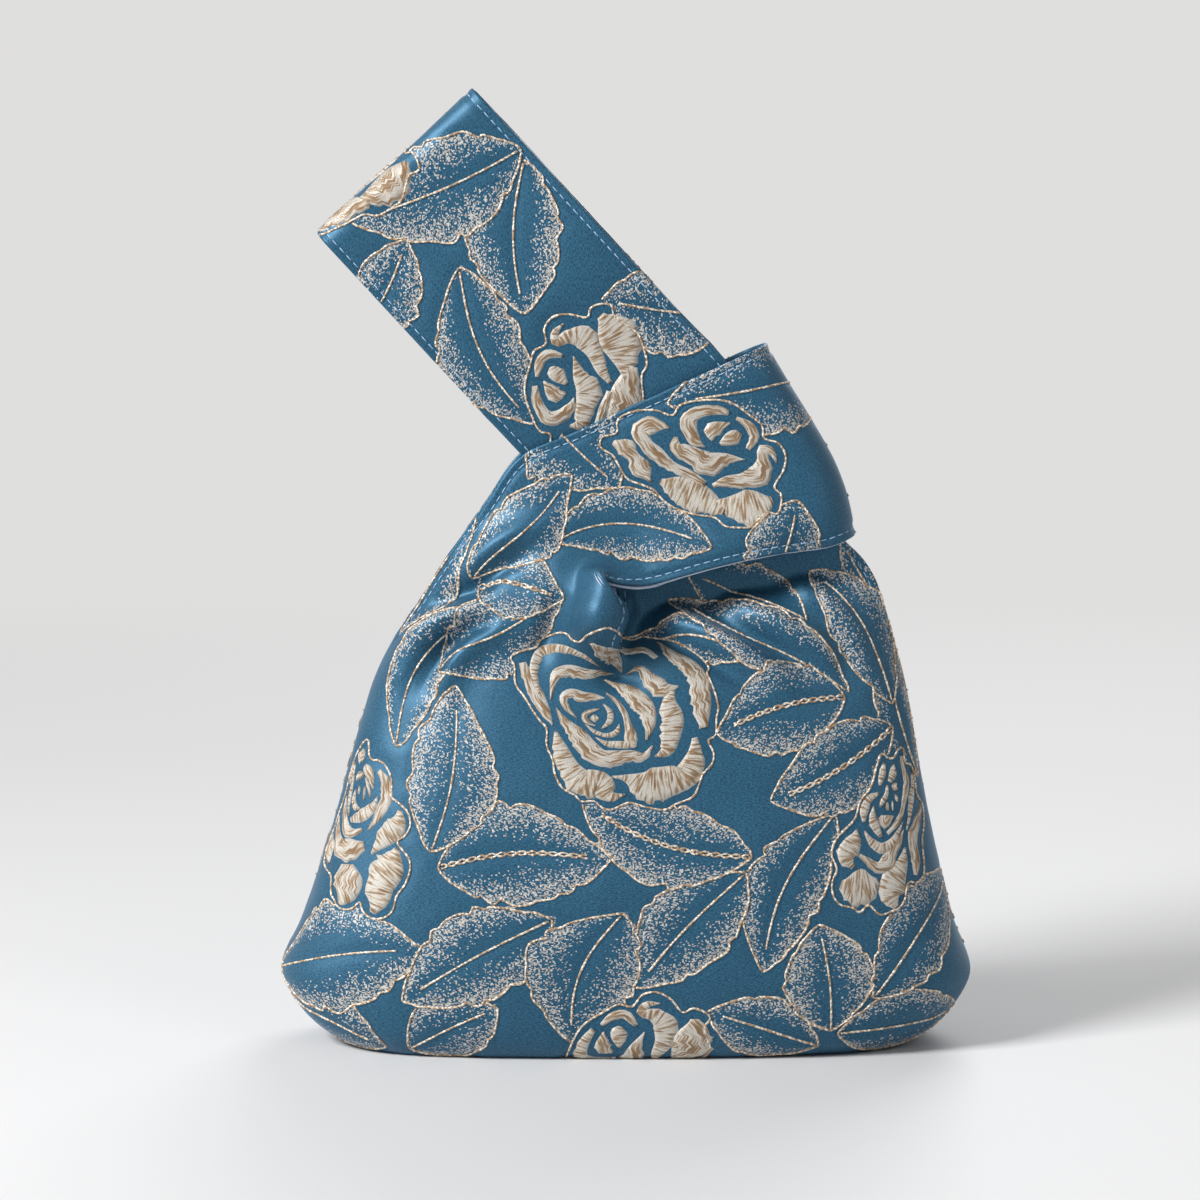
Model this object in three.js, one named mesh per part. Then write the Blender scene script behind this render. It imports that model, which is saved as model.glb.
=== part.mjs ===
// Knot bag: two brocade panels and two lining panels, each a body with a short and a long strap in one cut.
// The straps of front and back meet in two loops, and the long loop lies inside the short one.
// x runs to the right of the front, y to the back and z up. The floor is z = 0.
import * as THREE from "three";

// Driving dimensions, in millimetres and degrees
const BASE_WIDTH = 234; // across the two lower corners
const BASE_DEPTH = 86; // front to back at the swell above the base
const CORNER_HEIGHT = 24; // level of the widest points
const FOOT_WIDTH = 168; // seam along the middle of the base
const NECK_HEIGHT = 137; // lowest point of the neckline
const NECK_SHIFT = -3; // that point, right of the middle
const NECK_DEPTH = 48; // front to back at the neckline
const SHOULDER_WIDTH = 174; // across the body at the neckline
const SHOULDER_SHIFT = 5; // middle of the shoulders, right of the middle
const SHOULDER_BOW = 6; // how far the right armhole bows out
const SHOULDER_BOW_TILT = 31; // its direction above level
const STRAP_WIDTH = 70;
const KNOT_SHIFT = 25; // crossing of the straps' centre lines, right of the middle
const KNOT_HEIGHT = 190;
const SHORT_TILT = 24.5; // rise of the short strap towards its end
const SHORT_RUN = 51; // straight outer edge before the crossing
const SHORT_REACH = 42; // from the crossing to the fold at its end
const LONG_TILT = 132.8; // direction of the long strap towards its end
const LONG_START = 20; // where its edges become straight, past the crossing
const LONG_REACH = 152; // from the crossing to the fold at its end
const LOOP_GAP = 9; // clear space inside the long loop, at its ends
const LOOP_SWELL = 2.5; // how far each side of that loop stands off more at its middle
const ROLL_REACH = 5.5; // rolled edge at the neckline, right of the neck point
const ROLL_RISE = 15; // above the neck point
const ROLL_SWELL = 3.5; // in front of it
const PLEAT_HEIGHT = 2.2; // pleats that fan out below the neckline
const FABRIC = 1.2;
const LINING = 0.8;

// Clearances
const PLY_GAP = 0.3; // between brocade and lining
const SEAM_GAP = 0.3; // between front and back at the seams
const KNOT_GAP = 1.5; // between the two loops where they cross

// Fineness of the mesh and roundness of the body
const HALF_COLUMNS = 10; // columns from a side seam to the middle
const WALL_ROWS = 6; // rows from the corners to the neckline
const ROLL_STEPS = 2; // rows for each given row of a strap
const BASE_SQUARENESS = 3.2; // power of the oval at the base
const NECK_SQUARENESS = 2.2; // power of the oval at the neckline
const WALL_LEAN = 1.7; // how late the front leans back towards the neckline
const PLEATS_PER_TURN = 11;

const BROCADE = new THREE.MeshStandardMaterial({ color: 0x2f6c96, roughness: 0.5, metalness: 0 });
const PALE_LINING = new THREE.MeshStandardMaterial({ color: 0xc5d3e6, roughness: 0.8, metalness: 0 });

const mix = THREE.MathUtils.lerp;
const LAYER = FABRIC + PLY_GAP + LINING;
const LONG_LEVEL = LOOP_GAP / 2 + LAYER;
const SHORT_LEVEL = LONG_LEVEL + KNOT_GAP + LAYER;
const SEAM_LEVEL = SEAM_GAP / 2;
const NECK = new THREE.Vector3(NECK_SHIFT, -NECK_DEPTH / 2, NECK_HEIGHT);

// A row of the panel: its outer edge, its inner edge, how round it is between them and the oval's power
function row(outer, inner, round, power) {
  return { outer, inner, round, power };
}

// A point of a strap at a distance past the crossing. Side 1 is its outer edge and side -1 its inner edge.
function strapPoint(tilt, turn, along, side, level) {
  const angle = THREE.MathUtils.degToRad(tilt);
  const across = (turn * side * STRAP_WIDTH) / 2;
  const x = KNOT_SHIFT + along * Math.cos(angle) - across * Math.sin(angle);
  const z = KNOT_HEIGHT + along * Math.sin(angle) + across * Math.cos(angle);
  return new THREE.Vector3(x, -level, z);
}

function shortPoint(along, side, level) {
  return strapPoint(SHORT_TILT, 1, along, side, level);
}

function longPoint(along, side, level) {
  return strapPoint(LONG_TILT, -1, along, side, level);
}

// Rows of the body on one side, from the seam under the base to the neckline. Side is -1 left, 1 right.
function bodyRows(side) {
  const foot = FOOT_WIDTH / 2;
  const corner = BASE_WIDTH / 2;
  const shoulder = side * (SHOULDER_WIDTH / 2) + SHOULDER_SHIFT;
  const rows = [];
  const baseLevels = [
    { spread: 0, depth: 0, rise: 0 },
    { spread: 0.17, depth: 0.5, rise: 0 },
    { spread: 0.35, depth: 0.84, rise: 0 },
    { spread: 0.6, depth: 0.93, rise: 0.17 },
    { spread: 0.82, depth: 0.98, rise: 0.46 },
    { spread: 1, depth: 1, rise: 1 },
  ];
  for (const { spread, depth, rise } of baseLevels) {
    const z = rise * CORNER_HEIGHT;
    const outer = new THREE.Vector3(side * mix(foot, corner, spread), -SEAM_LEVEL, z);
    const inner = new THREE.Vector3(0, -SEAM_LEVEL - (depth * BASE_DEPTH) / 2, z);
    rows.push(row(outer, inner, 1, BASE_SQUARENESS));
  }
  for (let step = 1; step <= WALL_ROWS; step++) {
    const share = step / WALL_ROWS;
    const z = mix(CORNER_HEIGHT, NECK_HEIGHT, share);
    const depth = mix(BASE_DEPTH, NECK_DEPTH, share ** WALL_LEAN) / 2;
    const outer = new THREE.Vector3(mix(side * corner, shoulder, share), -SEAM_LEVEL, z);
    const inner = new THREE.Vector3(mix(0, NECK_SHIFT, share), -depth, z);
    rows.push(row(outer, inner, 1, mix(BASE_SQUARENESS, NECK_SQUARENESS, share)));
  }
  return rows;
}

// Rows on smooth curves through the outer and the inner edges of the given rows, without the first of them
function smoothRows(rows, steps) {
  const last = rows.length - 1;
  const outerCurve = new THREE.CatmullRomCurve3(rows.map(({ outer }) => outer));
  const innerCurve = new THREE.CatmullRomCurve3(rows.map(({ inner }) => inner));
  return Array.from({ length: last * steps }, (_, i) => {
    const at = (i + 1) / steps;
    const from = rows[Math.min(Math.floor(at), last - 1)];
    const to = rows[Math.min(Math.floor(at) + 1, last)];
    const share = at === last ? 1 : at % 1;
    const round = mix(from.round, to.round, share);
    const power = mix(from.power, to.power, share);
    return row(outerCurve.getPoint(at / last), innerCurve.getPoint(at / last), round, power);
  });
}

// Rows that turn a strap's end round from its level to the seam at the middle of the loop
function foldRows(pointAt, reach, level) {
  const rows = [];
  for (const turn of [0.25, 0.5, 0.75, 1]) {
    const angle = (turn * Math.PI) / 2;
    const along = reach - level + (level - SEAM_LEVEL) * Math.sin(angle);
    const depth = mix(SEAM_LEVEL, level, Math.cos(angle));
    rows.push(row(pointAt(along, 1, depth), pointAt(along, -1, depth), 0, NECK_SQUARENESS));
  }
  return rows;
}

// Rows of the short strap, from the neckline past the roll at its lowest point to the fold at the right
function shortStrapRows(neckRow) {
  const start = shortPoint(-SHORT_RUN, 1, SHORT_LEVEL);
  const fold = SHORT_REACH - SHORT_LEVEL;
  const foldInner = shortPoint(fold, -1, SHORT_LEVEL);
  const roll = [
    { share: 0.25, round: 0.8, shift: [-0.6, -0.7 * ROLL_SWELL, 0.3 * ROLL_RISE] },
    { share: 0.5, round: 0.45, shift: [ROLL_REACH, -ROLL_SWELL, ROLL_RISE] },
    { share: 0.75, round: 0.2, shift: [0.2 * ROLL_REACH, 0.4 * ROLL_SWELL, 1.3 * ROLL_RISE] },
    { share: 1, round: 0, shift: [1.7 * ROLL_REACH, 1.5 * ROLL_SWELL, 1.4 * ROLL_RISE] },
  ];
  const rows = [neckRow];
  for (const { share, round, shift } of roll) {
    const outer = neckRow.outer.clone().lerp(start, share);
    outer.y = -mix(SEAM_LEVEL, SHORT_LEVEL, Math.sin((share * Math.PI) / 2));
    const inner = NECK.clone().add(new THREE.Vector3(...shift));
    rows.push(row(outer, inner, round, NECK_SQUARENESS));
  }
  const ledge = rows[rows.length - 1].inner;
  for (const share of [0.25, 0.5, 0.75, 1]) {
    const outer = shortPoint(mix(-SHORT_RUN, fold, share), 1, SHORT_LEVEL);
    rows.push(row(outer, ledge.clone().lerp(foldInner, share), 0, NECK_SQUARENESS));
  }
  return smoothRows(rows, ROLL_STEPS).concat(foldRows(shortPoint, SHORT_REACH, SHORT_LEVEL));
}

// Rows of the long strap, from the neckline under the short strap to the fold at the top
function longStrapRows(neckRow) {
  const bowAngle = THREE.MathUtils.degToRad(SHOULDER_BOW_TILT);
  const outward = new THREE.Vector3(Math.cos(bowAngle), 0, Math.sin(bowAngle));
  const startOuter = longPoint(LONG_START, 1, LONG_LEVEL);
  const startInner = longPoint(LONG_START, -1, LONG_LEVEL);
  const rows = [neckRow];
  const tuck = [
    { share: 0.12, round: 0.8, bow: 0.75 },
    { share: 0.25, round: 0.5, bow: 1 },
    { share: 0.4, round: 0.25, bow: 0.3 },
    { share: 0.55, round: 0.1, bow: 0 },
    { share: 0.75, round: 0, bow: 0 },
    { share: 1, round: 0, bow: 0 },
  ];
  for (const { share, round, bow } of tuck) {
    const outer = neckRow.outer.clone().lerp(startOuter, share).addScaledVector(outward, bow * SHOULDER_BOW);
    outer.y = -mix(SEAM_LEVEL, LONG_LEVEL, Math.sqrt(share));
    const inner = NECK.clone().lerp(startInner, share);
    inner.x += ROLL_REACH * Math.sin(share * Math.PI);
    inner.y = -mix(LONG_LEVEL, NECK_DEPTH / 2, (1 - share) ** 3);
    rows.push(row(outer, inner, round, NECK_SQUARENESS));
  }
  for (const share of [0.25, 0.5, 0.75, 1]) {
    const along = mix(LONG_START, LONG_REACH - LONG_LEVEL, share);
    const level = LONG_LEVEL + LOOP_SWELL * Math.sin(share * Math.PI) ** 2;
    rows.push(row(longPoint(along, 1, level), longPoint(along, -1, level), 0, NECK_SQUARENESS));
  }
  return smoothRows(rows, ROLL_STEPS).concat(foldRows(longPoint, LONG_REACH, LONG_LEVEL));
}

// Pleats that fan out from the neck point over the body, as a step to the front
function pleat(x, z) {
  const dx = x - NECK.x;
  const dz = z - NECK.z;
  const distance = Math.hypot(dx, dz);
  const angle = Math.atan2(dz, dx);
  const near = Math.exp(-(((distance - NECK_HEIGHT / 2.5) / (NECK_HEIGHT / 5)) ** 2));
  const below = THREE.MathUtils.smoothstep(-dz, 0, NECK_HEIGHT / 8);
  return PLEAT_HEIGHT * near * below * Math.cos(PLEATS_PER_TURN * angle);
}

// A point of a row, from its outer edge at share 0 to its inner edge at share 1
function rowPoint({ outer, inner, round, power }, share) {
  const angle = (share * Math.PI) / 2;
  const across = mix(share, 1 - Math.max(0, Math.cos(angle)) ** (2 / power), round);
  const forward = mix(share, Math.sin(angle) ** (2 / power), round);
  const point = outer.clone().lerp(inner, across);
  point.y = mix(outer.y, inner.y, forward);
  point.y -= round * pleat(point.x, point.z) * forward;
  return point;
}

// The outside of the front as one sheet: points, triangles, and which points lie on the seams
function frontSheet() {
  const points = [];
  const triangles = [];
  const seam = [];
  const left = bodyRows(-1);
  const right = bodyRows(1);
  const split = left.length - 1;
  const shortRows = shortStrapRows(left[split]);
  const longRows = longStrapRows(right[split]);

  function addPoint(point, onSeam) {
    points.push(point);
    seam.push(onSeam);
    return points.length - 1;
  }

  function addStrip(lines) {
    for (let j = 1; j < lines.length; j++) {
      for (let i = 1; i < lines[j].length; i++) {
        const a = lines[j - 1][i - 1];
        const b = lines[j - 1][i];
        const c = lines[j][i];
        const d = lines[j][i - 1];
        triangles.push([a, b, c], [a, c, d]);
      }
    }
  }

  const shares = Array.from({ length: HALF_COLUMNS + 1 }, (_, i) => i / HALF_COLUMNS);
  const bodyLines = left.map((leftRow, j) => {
    const line = shares.map((share) => addPoint(rowPoint(leftRow, share), j === 0 || share === 0));
    for (const share of shares.slice(0, -1).reverse()) {
      line.push(addPoint(rowPoint(right[j], share), j === 0 || share === 0));
    }
    return line;
  });
  addStrip(bodyLines);

  const neckLine = bodyLines[split];
  const shortLines = shortRows.map((strapRow, j) =>
    shares.map((share) => addPoint(rowPoint(strapRow, share), j === shortRows.length - 1)),
  );
  addStrip([neckLine.slice(0, HALF_COLUMNS + 1), ...shortLines]);

  const inward = [...shares].reverse();
  const longLines = longRows.map((strapRow, j) =>
    inward.map((share) => addPoint(rowPoint(strapRow, share), j === longRows.length - 1)),
  );
  addStrip([neckLine.slice(HALF_COLUMNS), ...longLines]);
  return { points, triangles, normals: sheetNormals(points, triangles, seam) };
}

// Outward direction at each point. Along the seams it lies in the plane between front and back.
function sheetNormals(points, triangles, seam) {
  const normals = points.map(() => new THREE.Vector3());
  for (const corners of triangles) {
    const [a, b, c] = corners.map((index) => points[index]);
    const normal = b.clone().sub(a).cross(c.clone().sub(a));
    for (const index of corners) {
      normals[index].add(normal);
    }
  }
  normals.forEach((normal, index) => {
    if (seam[index]) {
      normal.y = 0;
    }
    normal.normalize();
  });
  return normals;
}

// A closed plate of cloth that lies from one depth to another inside the sheet
function plate({ points, triangles, normals }, near, far) {
  const count = points.length;
  const sides = [near, far].map((depth) => points.map((p, i) => p.clone().addScaledVector(normals[i], -depth)));
  const faces = [];
  const open = new Map();
  for (const [a, b, c] of triangles) {
    faces.push(a, b, c, a + count, c + count, b + count);
    for (const [from, to] of [[a, b], [b, c], [c, a]]) {
      if (!open.delete(`${to} ${from}`)) {
        open.set(`${from} ${to}`, [from, to]);
      }
    }
  }
  for (const [from, to] of open.values()) {
    faces.push(to, from, from + count, to, from + count, to + count);
  }
  const geometry = new THREE.BufferGeometry().setFromPoints(sides.flat());
  geometry.setIndex(faces);
  geometry.computeVertexNormals();
  return geometry;
}

function panel(name, geometry, material) {
  const mesh = new THREE.Mesh(geometry, material);
  mesh.name = name;
  return mesh;
}

const sheet = frontSheet();
const brocade = plate(sheet, 0, FABRIC);
const lining = plate(sheet, FABRIC + PLY_GAP, LAYER);

const front = new THREE.Group();
front.add(panel("outer_front_panel", brocade, BROCADE));
front.add(panel("lining_front_panel", lining, PALE_LINING));

const back = new THREE.Group();
back.scale.y = -1;
back.add(panel("outer_back_panel", brocade, BROCADE));
back.add(panel("lining_back_panel", lining, PALE_LINING));

const bag = new THREE.Group();
bag.add(front, back);

export default bag;
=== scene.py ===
import math
import random
import bpy
import numpy as np
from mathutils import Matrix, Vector, noise
from mathutils.bvhtree import BVHTree
from mathutils.kdtree import KDTree


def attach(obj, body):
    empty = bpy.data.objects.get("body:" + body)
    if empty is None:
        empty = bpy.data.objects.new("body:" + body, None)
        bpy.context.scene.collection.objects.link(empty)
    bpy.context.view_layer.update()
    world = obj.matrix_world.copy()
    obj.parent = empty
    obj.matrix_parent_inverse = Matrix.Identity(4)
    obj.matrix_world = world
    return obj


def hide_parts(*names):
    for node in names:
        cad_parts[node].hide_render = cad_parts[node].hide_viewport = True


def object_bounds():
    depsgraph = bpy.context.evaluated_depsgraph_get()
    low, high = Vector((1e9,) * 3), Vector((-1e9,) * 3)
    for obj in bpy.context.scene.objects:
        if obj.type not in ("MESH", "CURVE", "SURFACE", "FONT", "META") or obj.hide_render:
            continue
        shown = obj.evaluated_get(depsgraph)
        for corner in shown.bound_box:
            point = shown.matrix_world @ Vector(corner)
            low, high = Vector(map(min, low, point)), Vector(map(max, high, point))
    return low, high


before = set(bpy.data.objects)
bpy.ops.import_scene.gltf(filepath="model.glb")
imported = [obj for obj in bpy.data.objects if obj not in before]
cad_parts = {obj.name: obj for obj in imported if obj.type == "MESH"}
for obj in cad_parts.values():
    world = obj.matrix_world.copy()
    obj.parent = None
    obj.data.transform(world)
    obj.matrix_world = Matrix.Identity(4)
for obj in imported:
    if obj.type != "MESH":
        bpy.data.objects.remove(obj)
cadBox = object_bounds()
scene = bpy.context.scene
scene.view_settings.view_transform = "Standard"

# Camera, at the photograph's angle. Its frame is square.
view = {
    "pixels": 1200,  # side of the photograph
    "distance": 1.4,
    "elevation": 7.0,  # degrees above level
    "aim": (-0.0088, -0.01, 0.153),
    "frameWidth": 0.408,  # width of the frame at the aim
    "sensor": 36.0,  # millimetres
}


def makeCamera():
    tilt = math.radians(view["elevation"])
    back = Vector((0, -math.cos(tilt), math.sin(tilt)))
    data = bpy.data.cameras.new("camera")
    data.sensor_width = view["sensor"]
    data.lens = view["sensor"] * view["distance"] / view["frameWidth"]
    camera = bpy.data.objects.new("camera", data)
    camera.location = Vector(view["aim"]) + back * view["distance"]
    camera.rotation_euler = back.to_track_quat("Z", "Y").to_euler()
    scene.collection.objects.link(camera)
    scene.camera = camera
    return camera


def photoRay(camera, pixel):
    half = view["pixels"] / 2
    scale = view["frameWidth"] / 2 / view["distance"]
    x = (pixel[0] / half - 1) * scale
    y = (1 - pixel[1] / half) * scale
    turn = camera.rotation_euler.to_matrix()
    return camera.location.copy(), (turn @ Vector((x, y, -1))).normalized()


camera = makeCamera()
print("camera ready")

# The cut of a panel, in metres and degrees: a body with a short and a long strap
cut = {
    "baseWidth": 0.234,  # across the two lower corners
    "baseDepth": 0.086,
    "cornerHeight": 0.024,  # level of the widest points
    "footWidth": 0.168,  # length of the seam on the floor
    "neck": (-0.003, -0.024, 0.137),  # lowest point of the neckline
    "shoulderWidth": 0.174,  # across the side seams, level with the neckline
    "shoulderShift": 0.005,  # of both seams to the right there
    "shoulderBow": 0.006,  # of the outer edge where the long strap begins
    "bowTilt": 31,
    "strapWidth": 0.072,
    "knot": (0.025, 0.190),  # crossing of the straps, x and z
    "shortTilt": 24.5,
    "shortRun": 0.051,  # from where the strap is straight to the crossing
    "shortReach": 0.042,  # from the crossing to the loop's end
    "longTilt": 132.8,
    "longStart": 0.020,  # from the crossing to where the strap is straight
    "longReach": 0.152,
    "loopSwell": 0.0025,  # of the long loop, half way along
    "longLevel": 0.0068,  # from the middle plane to the long strap
    "shortLevel": 0.0106,
    "seamLevel": 0.00002,  # half the gap between front and back at their seams
    "earReach": 0.0034,  # of the lower corners, drawn out by their seams
    "earHeight": 0.012,
    "endBow": 0.0034,  # of the short loop's end
    "edgeLift": 0.0028,  # of the short loop's lower edge
    "liftFrom": 640,  # pixels of the photograph between which it is lifted
    "liftTo": 850,
    "rollReach": 0.0055,  # roll of cloth over the neckline, under the knot
    "rollRise": 0.015,
    "rollSwell": 0.0035,
    "rollDip": 0.0006,
    "baseSquareness": 3.2,  # of the body seen from above, 2 for an ellipse
    "neckSquareness": 2.2,
    "wallLean": 1.7,  # how late the wall leans in on its way up
    "earPower": 6,  # how steeply the drawn-out forms rise to their edges
    "endPower": 6,
    "endLean": 1.6,
    "liftPower": 4,
    "baseSteps": 10,  # fine steps, before the rows are spaced evenly
    "wallSteps": 80,
    "strapSteps": 12,
    "foldSteps": 10,
    "rowSteps": 240,
    "halfColumns": 64,  # columns from a side seam to the middle
    "rowSpacing": 0.0017,
}

# Rows of the base, from its seam to the wall: the shares of the way out to the lower corner, of the way to
# the front, and of the corner's level
baseLevels = ((0, 0, 0), (0.17, 0.5, 0), (0.35, 0.84, 0), (0.6, 0.93, 0.17), (0.82, 0.98, 0.46), (1, 1, 1))
quarters = (0.25, 0.5, 0.75, 1)


def mix(a, b, share):
    return a + (b - a) * share


def unitRows(vectors):
    return vectors / np.maximum(np.linalg.norm(vectors, axis=1), 1e-12)[:, None]


def lengthsAlong(line):
    return np.concatenate(([0], np.cumsum(np.linalg.norm(np.diff(line, axis=0), axis=1))))


def lengthsAcross(rows):
    return np.cumsum(np.linalg.norm(np.diff(rows, axis=1, prepend=rows[:, :1]), axis=2), axis=1)


def row(outer, inner, rounding, power):
    return {"outer": np.array(outer), "inner": np.array(inner), "round": rounding, "power": power}


def strapPoint(tilt, turn, along, side, level):
    angle = math.radians(tilt)
    across = turn * side * cut["strapWidth"] / 2
    x = cut["knot"][0] + along * math.cos(angle) - across * math.sin(angle)
    z = cut["knot"][1] + along * math.sin(angle) + across * math.cos(angle)
    return np.array((x, -level, z))


def shortPoint(along, side, level):
    return strapPoint(cut["shortTilt"], 1, along, side, level)


def longPoint(along, side, level):
    return strapPoint(cut["longTilt"], -1, along, side, level)


def baseRows(side):
    rows = []
    for spread, depth, rise in baseLevels:
        z = rise * cut["cornerHeight"]
        x = side * mix(cut["footWidth"], cut["baseWidth"], spread) / 2
        inner = (0, -cut["seamLevel"] - depth * cut["baseDepth"] / 2, z)
        rows.append(row((x, -cut["seamLevel"], z), inner, 1, cut["baseSquareness"]))
    return rows


def wallRows(side):
    rows = []
    count = cut["wallSteps"]
    neckX, neckY, neckZ = cut["neck"]
    corner = side * cut["baseWidth"] / 2
    shoulder = side * cut["shoulderWidth"] / 2 + cut["shoulderShift"]
    for step in range(1, count + 1):
        share = step / count
        z = mix(cut["cornerHeight"], neckZ, share)
        y = mix(-cut["baseDepth"] / 2, neckY, share ** cut["wallLean"])
        outer = (mix(corner, shoulder, share), -cut["seamLevel"], z)
        power = mix(cut["baseSquareness"], cut["neckSquareness"], share)
        rows.append(row(outer, (neckX * share, y, z), 1, power))
    return rows


# A point on the smooth curve through the points, whose pieces are timed by the distances between them
def curvePoint(points, at):
    first = min(int(at), len(points) - 2)
    share = at - first
    x1, x2 = points[first], points[first + 1]
    x0 = points[first - 1] if first else 2 * x1 - x2
    x3 = points[first + 2] if first + 2 < len(points) else 2 * x2 - x1
    gaps = [max(np.linalg.norm(b - a), 1e-8) ** 0.5 for a, b in ((x0, x1), (x1, x2), (x2, x3))]
    d0, d1, d2 = gaps
    t1 = ((x1 - x0) / d0 - (x2 - x0) / (d0 + d1) + (x2 - x1) / d1) * d1
    t2 = ((x2 - x1) / d1 - (x3 - x1) / (d1 + d2) + (x3 - x2) / d2) * d1
    c2 = -3 * x1 + 3 * x2 - 2 * t1 - t2
    c3 = 2 * x1 - 2 * x2 + t1 + t2
    return x1 + share * (t1 + share * (c2 + share * c3))


def smoothRows(rows, steps):
    outers = [r["outer"] for r in rows]
    inners = [r["inner"] for r in rows]
    smooth = []
    for i in range((len(rows) - 1) * steps + 1):
        at = i / steps
        first = min(int(at), len(rows) - 2)
        a, b = rows[first], rows[first + 1]
        rounding = mix(a["round"], b["round"], at - first)
        power = mix(a["power"], b["power"], at - first)
        smooth.append(row(curvePoint(outers, at), curvePoint(inners, at), rounding, power))
    return smooth


def foldRows(pointAt, reach, level):
    rows = []
    count = cut["foldSteps"]
    for step in range(1, count + 1):
        angle = step / count * math.pi / 2
        along = reach - level + (level - cut["seamLevel"]) * math.sin(angle)
        depth = mix(cut["seamLevel"], level, math.cos(angle))
        rows.append(row(pointAt(along, 1, depth), pointAt(along, -1, depth), 0, cut["neckSquareness"]))
    return rows


def shortStrapRows(neckRow):
    start = shortPoint(-cut["shortRun"], 1, cut["shortLevel"])
    fold = cut["shortReach"] - cut["shortLevel"]
    foldInner = shortPoint(fold, -1, cut["shortLevel"])
    reach, swell, rise = cut["rollReach"], cut["rollSwell"], cut["rollRise"]
    roll = [  # of each row: share of the way to the strap, rounding, and shift of its inner end
        (0.25, 0.8, (-cut["rollDip"], -0.7 * swell, 0.3 * rise)),
        (0.5, 0.45, (reach, -swell, rise)),
        (0.75, 0.2, (0.2 * reach, 0.4 * swell, 1.3 * rise)),
        (1, 0, (1.7 * reach, 1.5 * swell, 1.4 * rise)),
    ]
    rows = [neckRow]
    for share, rounding, shift in roll:
        outer = mix(neckRow["outer"], start, share)
        outer[1] = -mix(cut["seamLevel"], cut["shortLevel"], math.sin(share * math.pi / 2))
        inner = np.array(cut["neck"]) + np.array(shift)
        rows.append(row(outer, inner, rounding, cut["neckSquareness"]))
    ledge = rows[-1]["inner"]
    for share in quarters:
        outer = shortPoint(mix(-cut["shortRun"], fold, share), 1, cut["shortLevel"])
        rows.append(row(outer, mix(ledge, foldInner, share), 0, cut["neckSquareness"]))
    return smoothRows(rows, cut["strapSteps"]) + foldRows(shortPoint, cut["shortReach"], cut["shortLevel"])


def longStrapRows(neckRow):
    tilt = math.radians(cut["bowTilt"])
    outward = np.array((math.cos(tilt), 0, math.sin(tilt)))
    neck = np.array(cut["neck"])
    startOuter = longPoint(cut["longStart"], 1, cut["longLevel"])
    startInner = longPoint(cut["longStart"], -1, cut["longLevel"])
    rows = [neckRow]
    # of each row: share of the way to the strap, rounding, and how far its outer end bows out
    shoulder = [(0.12, 0.8, 0.75), (0.25, 0.5, 1), (0.4, 0.25, 0.3), (0.55, 0.1, 0), (0.75, 0, 0), (1, 0, 0)]
    for share, rounding, bow in shoulder:
        outer = mix(neckRow["outer"], startOuter, share) + outward * bow * cut["shoulderBow"]
        outer[1] = -mix(cut["seamLevel"], cut["longLevel"], math.sqrt(share))
        inner = mix(neck, startInner, share)
        inner[0] += cut["rollReach"] * math.sin(share * math.pi)
        inner[1] = -mix(cut["longLevel"], -neck[1], (1 - share) ** 3)
        rows.append(row(outer, inner, rounding, cut["neckSquareness"]))
    for share in quarters:
        along = mix(cut["longStart"], cut["longReach"] - cut["longLevel"], share)
        level = cut["longLevel"] + cut["loopSwell"] * math.sin(share * math.pi) ** 2
        rows.append(row(longPoint(along, 1, level), longPoint(along, -1, level), 0, cut["neckSquareness"]))
    return smoothRows(rows, cut["strapSteps"]) + foldRows(longPoint, cut["longReach"], cut["longLevel"])


# Points of a row from its outer to its inner edge, evenly spaced
def rowPoints(r):
    share = np.linspace(0, 1, cut["rowSteps"] + 1)
    angle = share * math.pi / 2
    across = mix(share, 1 - np.maximum(0, np.cos(angle)) ** (2 / r["power"]), r["round"])
    forward = mix(share, np.sin(angle) ** (2 / r["power"]), r["round"])
    line = r["outer"] + (r["inner"] - r["outer"]) * across[:, None]
    line[:, 1] = mix(r["outer"][1], r["inner"][1], forward)
    return evenLine(line, cut["halfColumns"])


def evenLine(line, steps):
    lengths = lengthsAlong(line)
    wanted = np.linspace(0, lengths[-1], steps + 1)
    return np.stack([np.interp(wanted, lengths, axis) for axis in line.T], axis=1)


# The same rows, spaced evenly along the panel
def evenRows(grid, spacing):
    step = np.linalg.norm(np.diff(grid, axis=0), axis=2).mean(axis=1)
    lengths = np.concatenate(([0], np.cumsum(step)))
    wanted = np.linspace(0, lengths[-1], round(lengths[-1] / spacing) + 1)
    place = np.interp(wanted, lengths, np.arange(len(grid)))
    first = np.minimum(place.astype(int), len(grid) - 2)
    share = (place - first)[:, None, None]
    return grid[first] * (1 - share) + grid[first + 1] * share


def frontGrids():
    halves = []
    for side in (-1, 1):
        base = smoothRows(baseRows(side), cut["baseSteps"])
        for r in base:
            r["outer"][2] = max(0, r["outer"][2])
            r["inner"][2] = max(0, r["inner"][2])
        halves.append(base + wallRows(side))
    left, right = halves
    body = [np.concatenate((rowPoints(a), rowPoints(b)[-2::-1])) for a, b in zip(left, right)]
    short = [rowPoints(r) for r in shortStrapRows(left[-1])]
    long = [rowPoints(r)[::-1] for r in longStrapRows(right[-1])]
    return [evenRows(np.array(grid), cut["rowSpacing"]) for grid in (body, short, long)]


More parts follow.
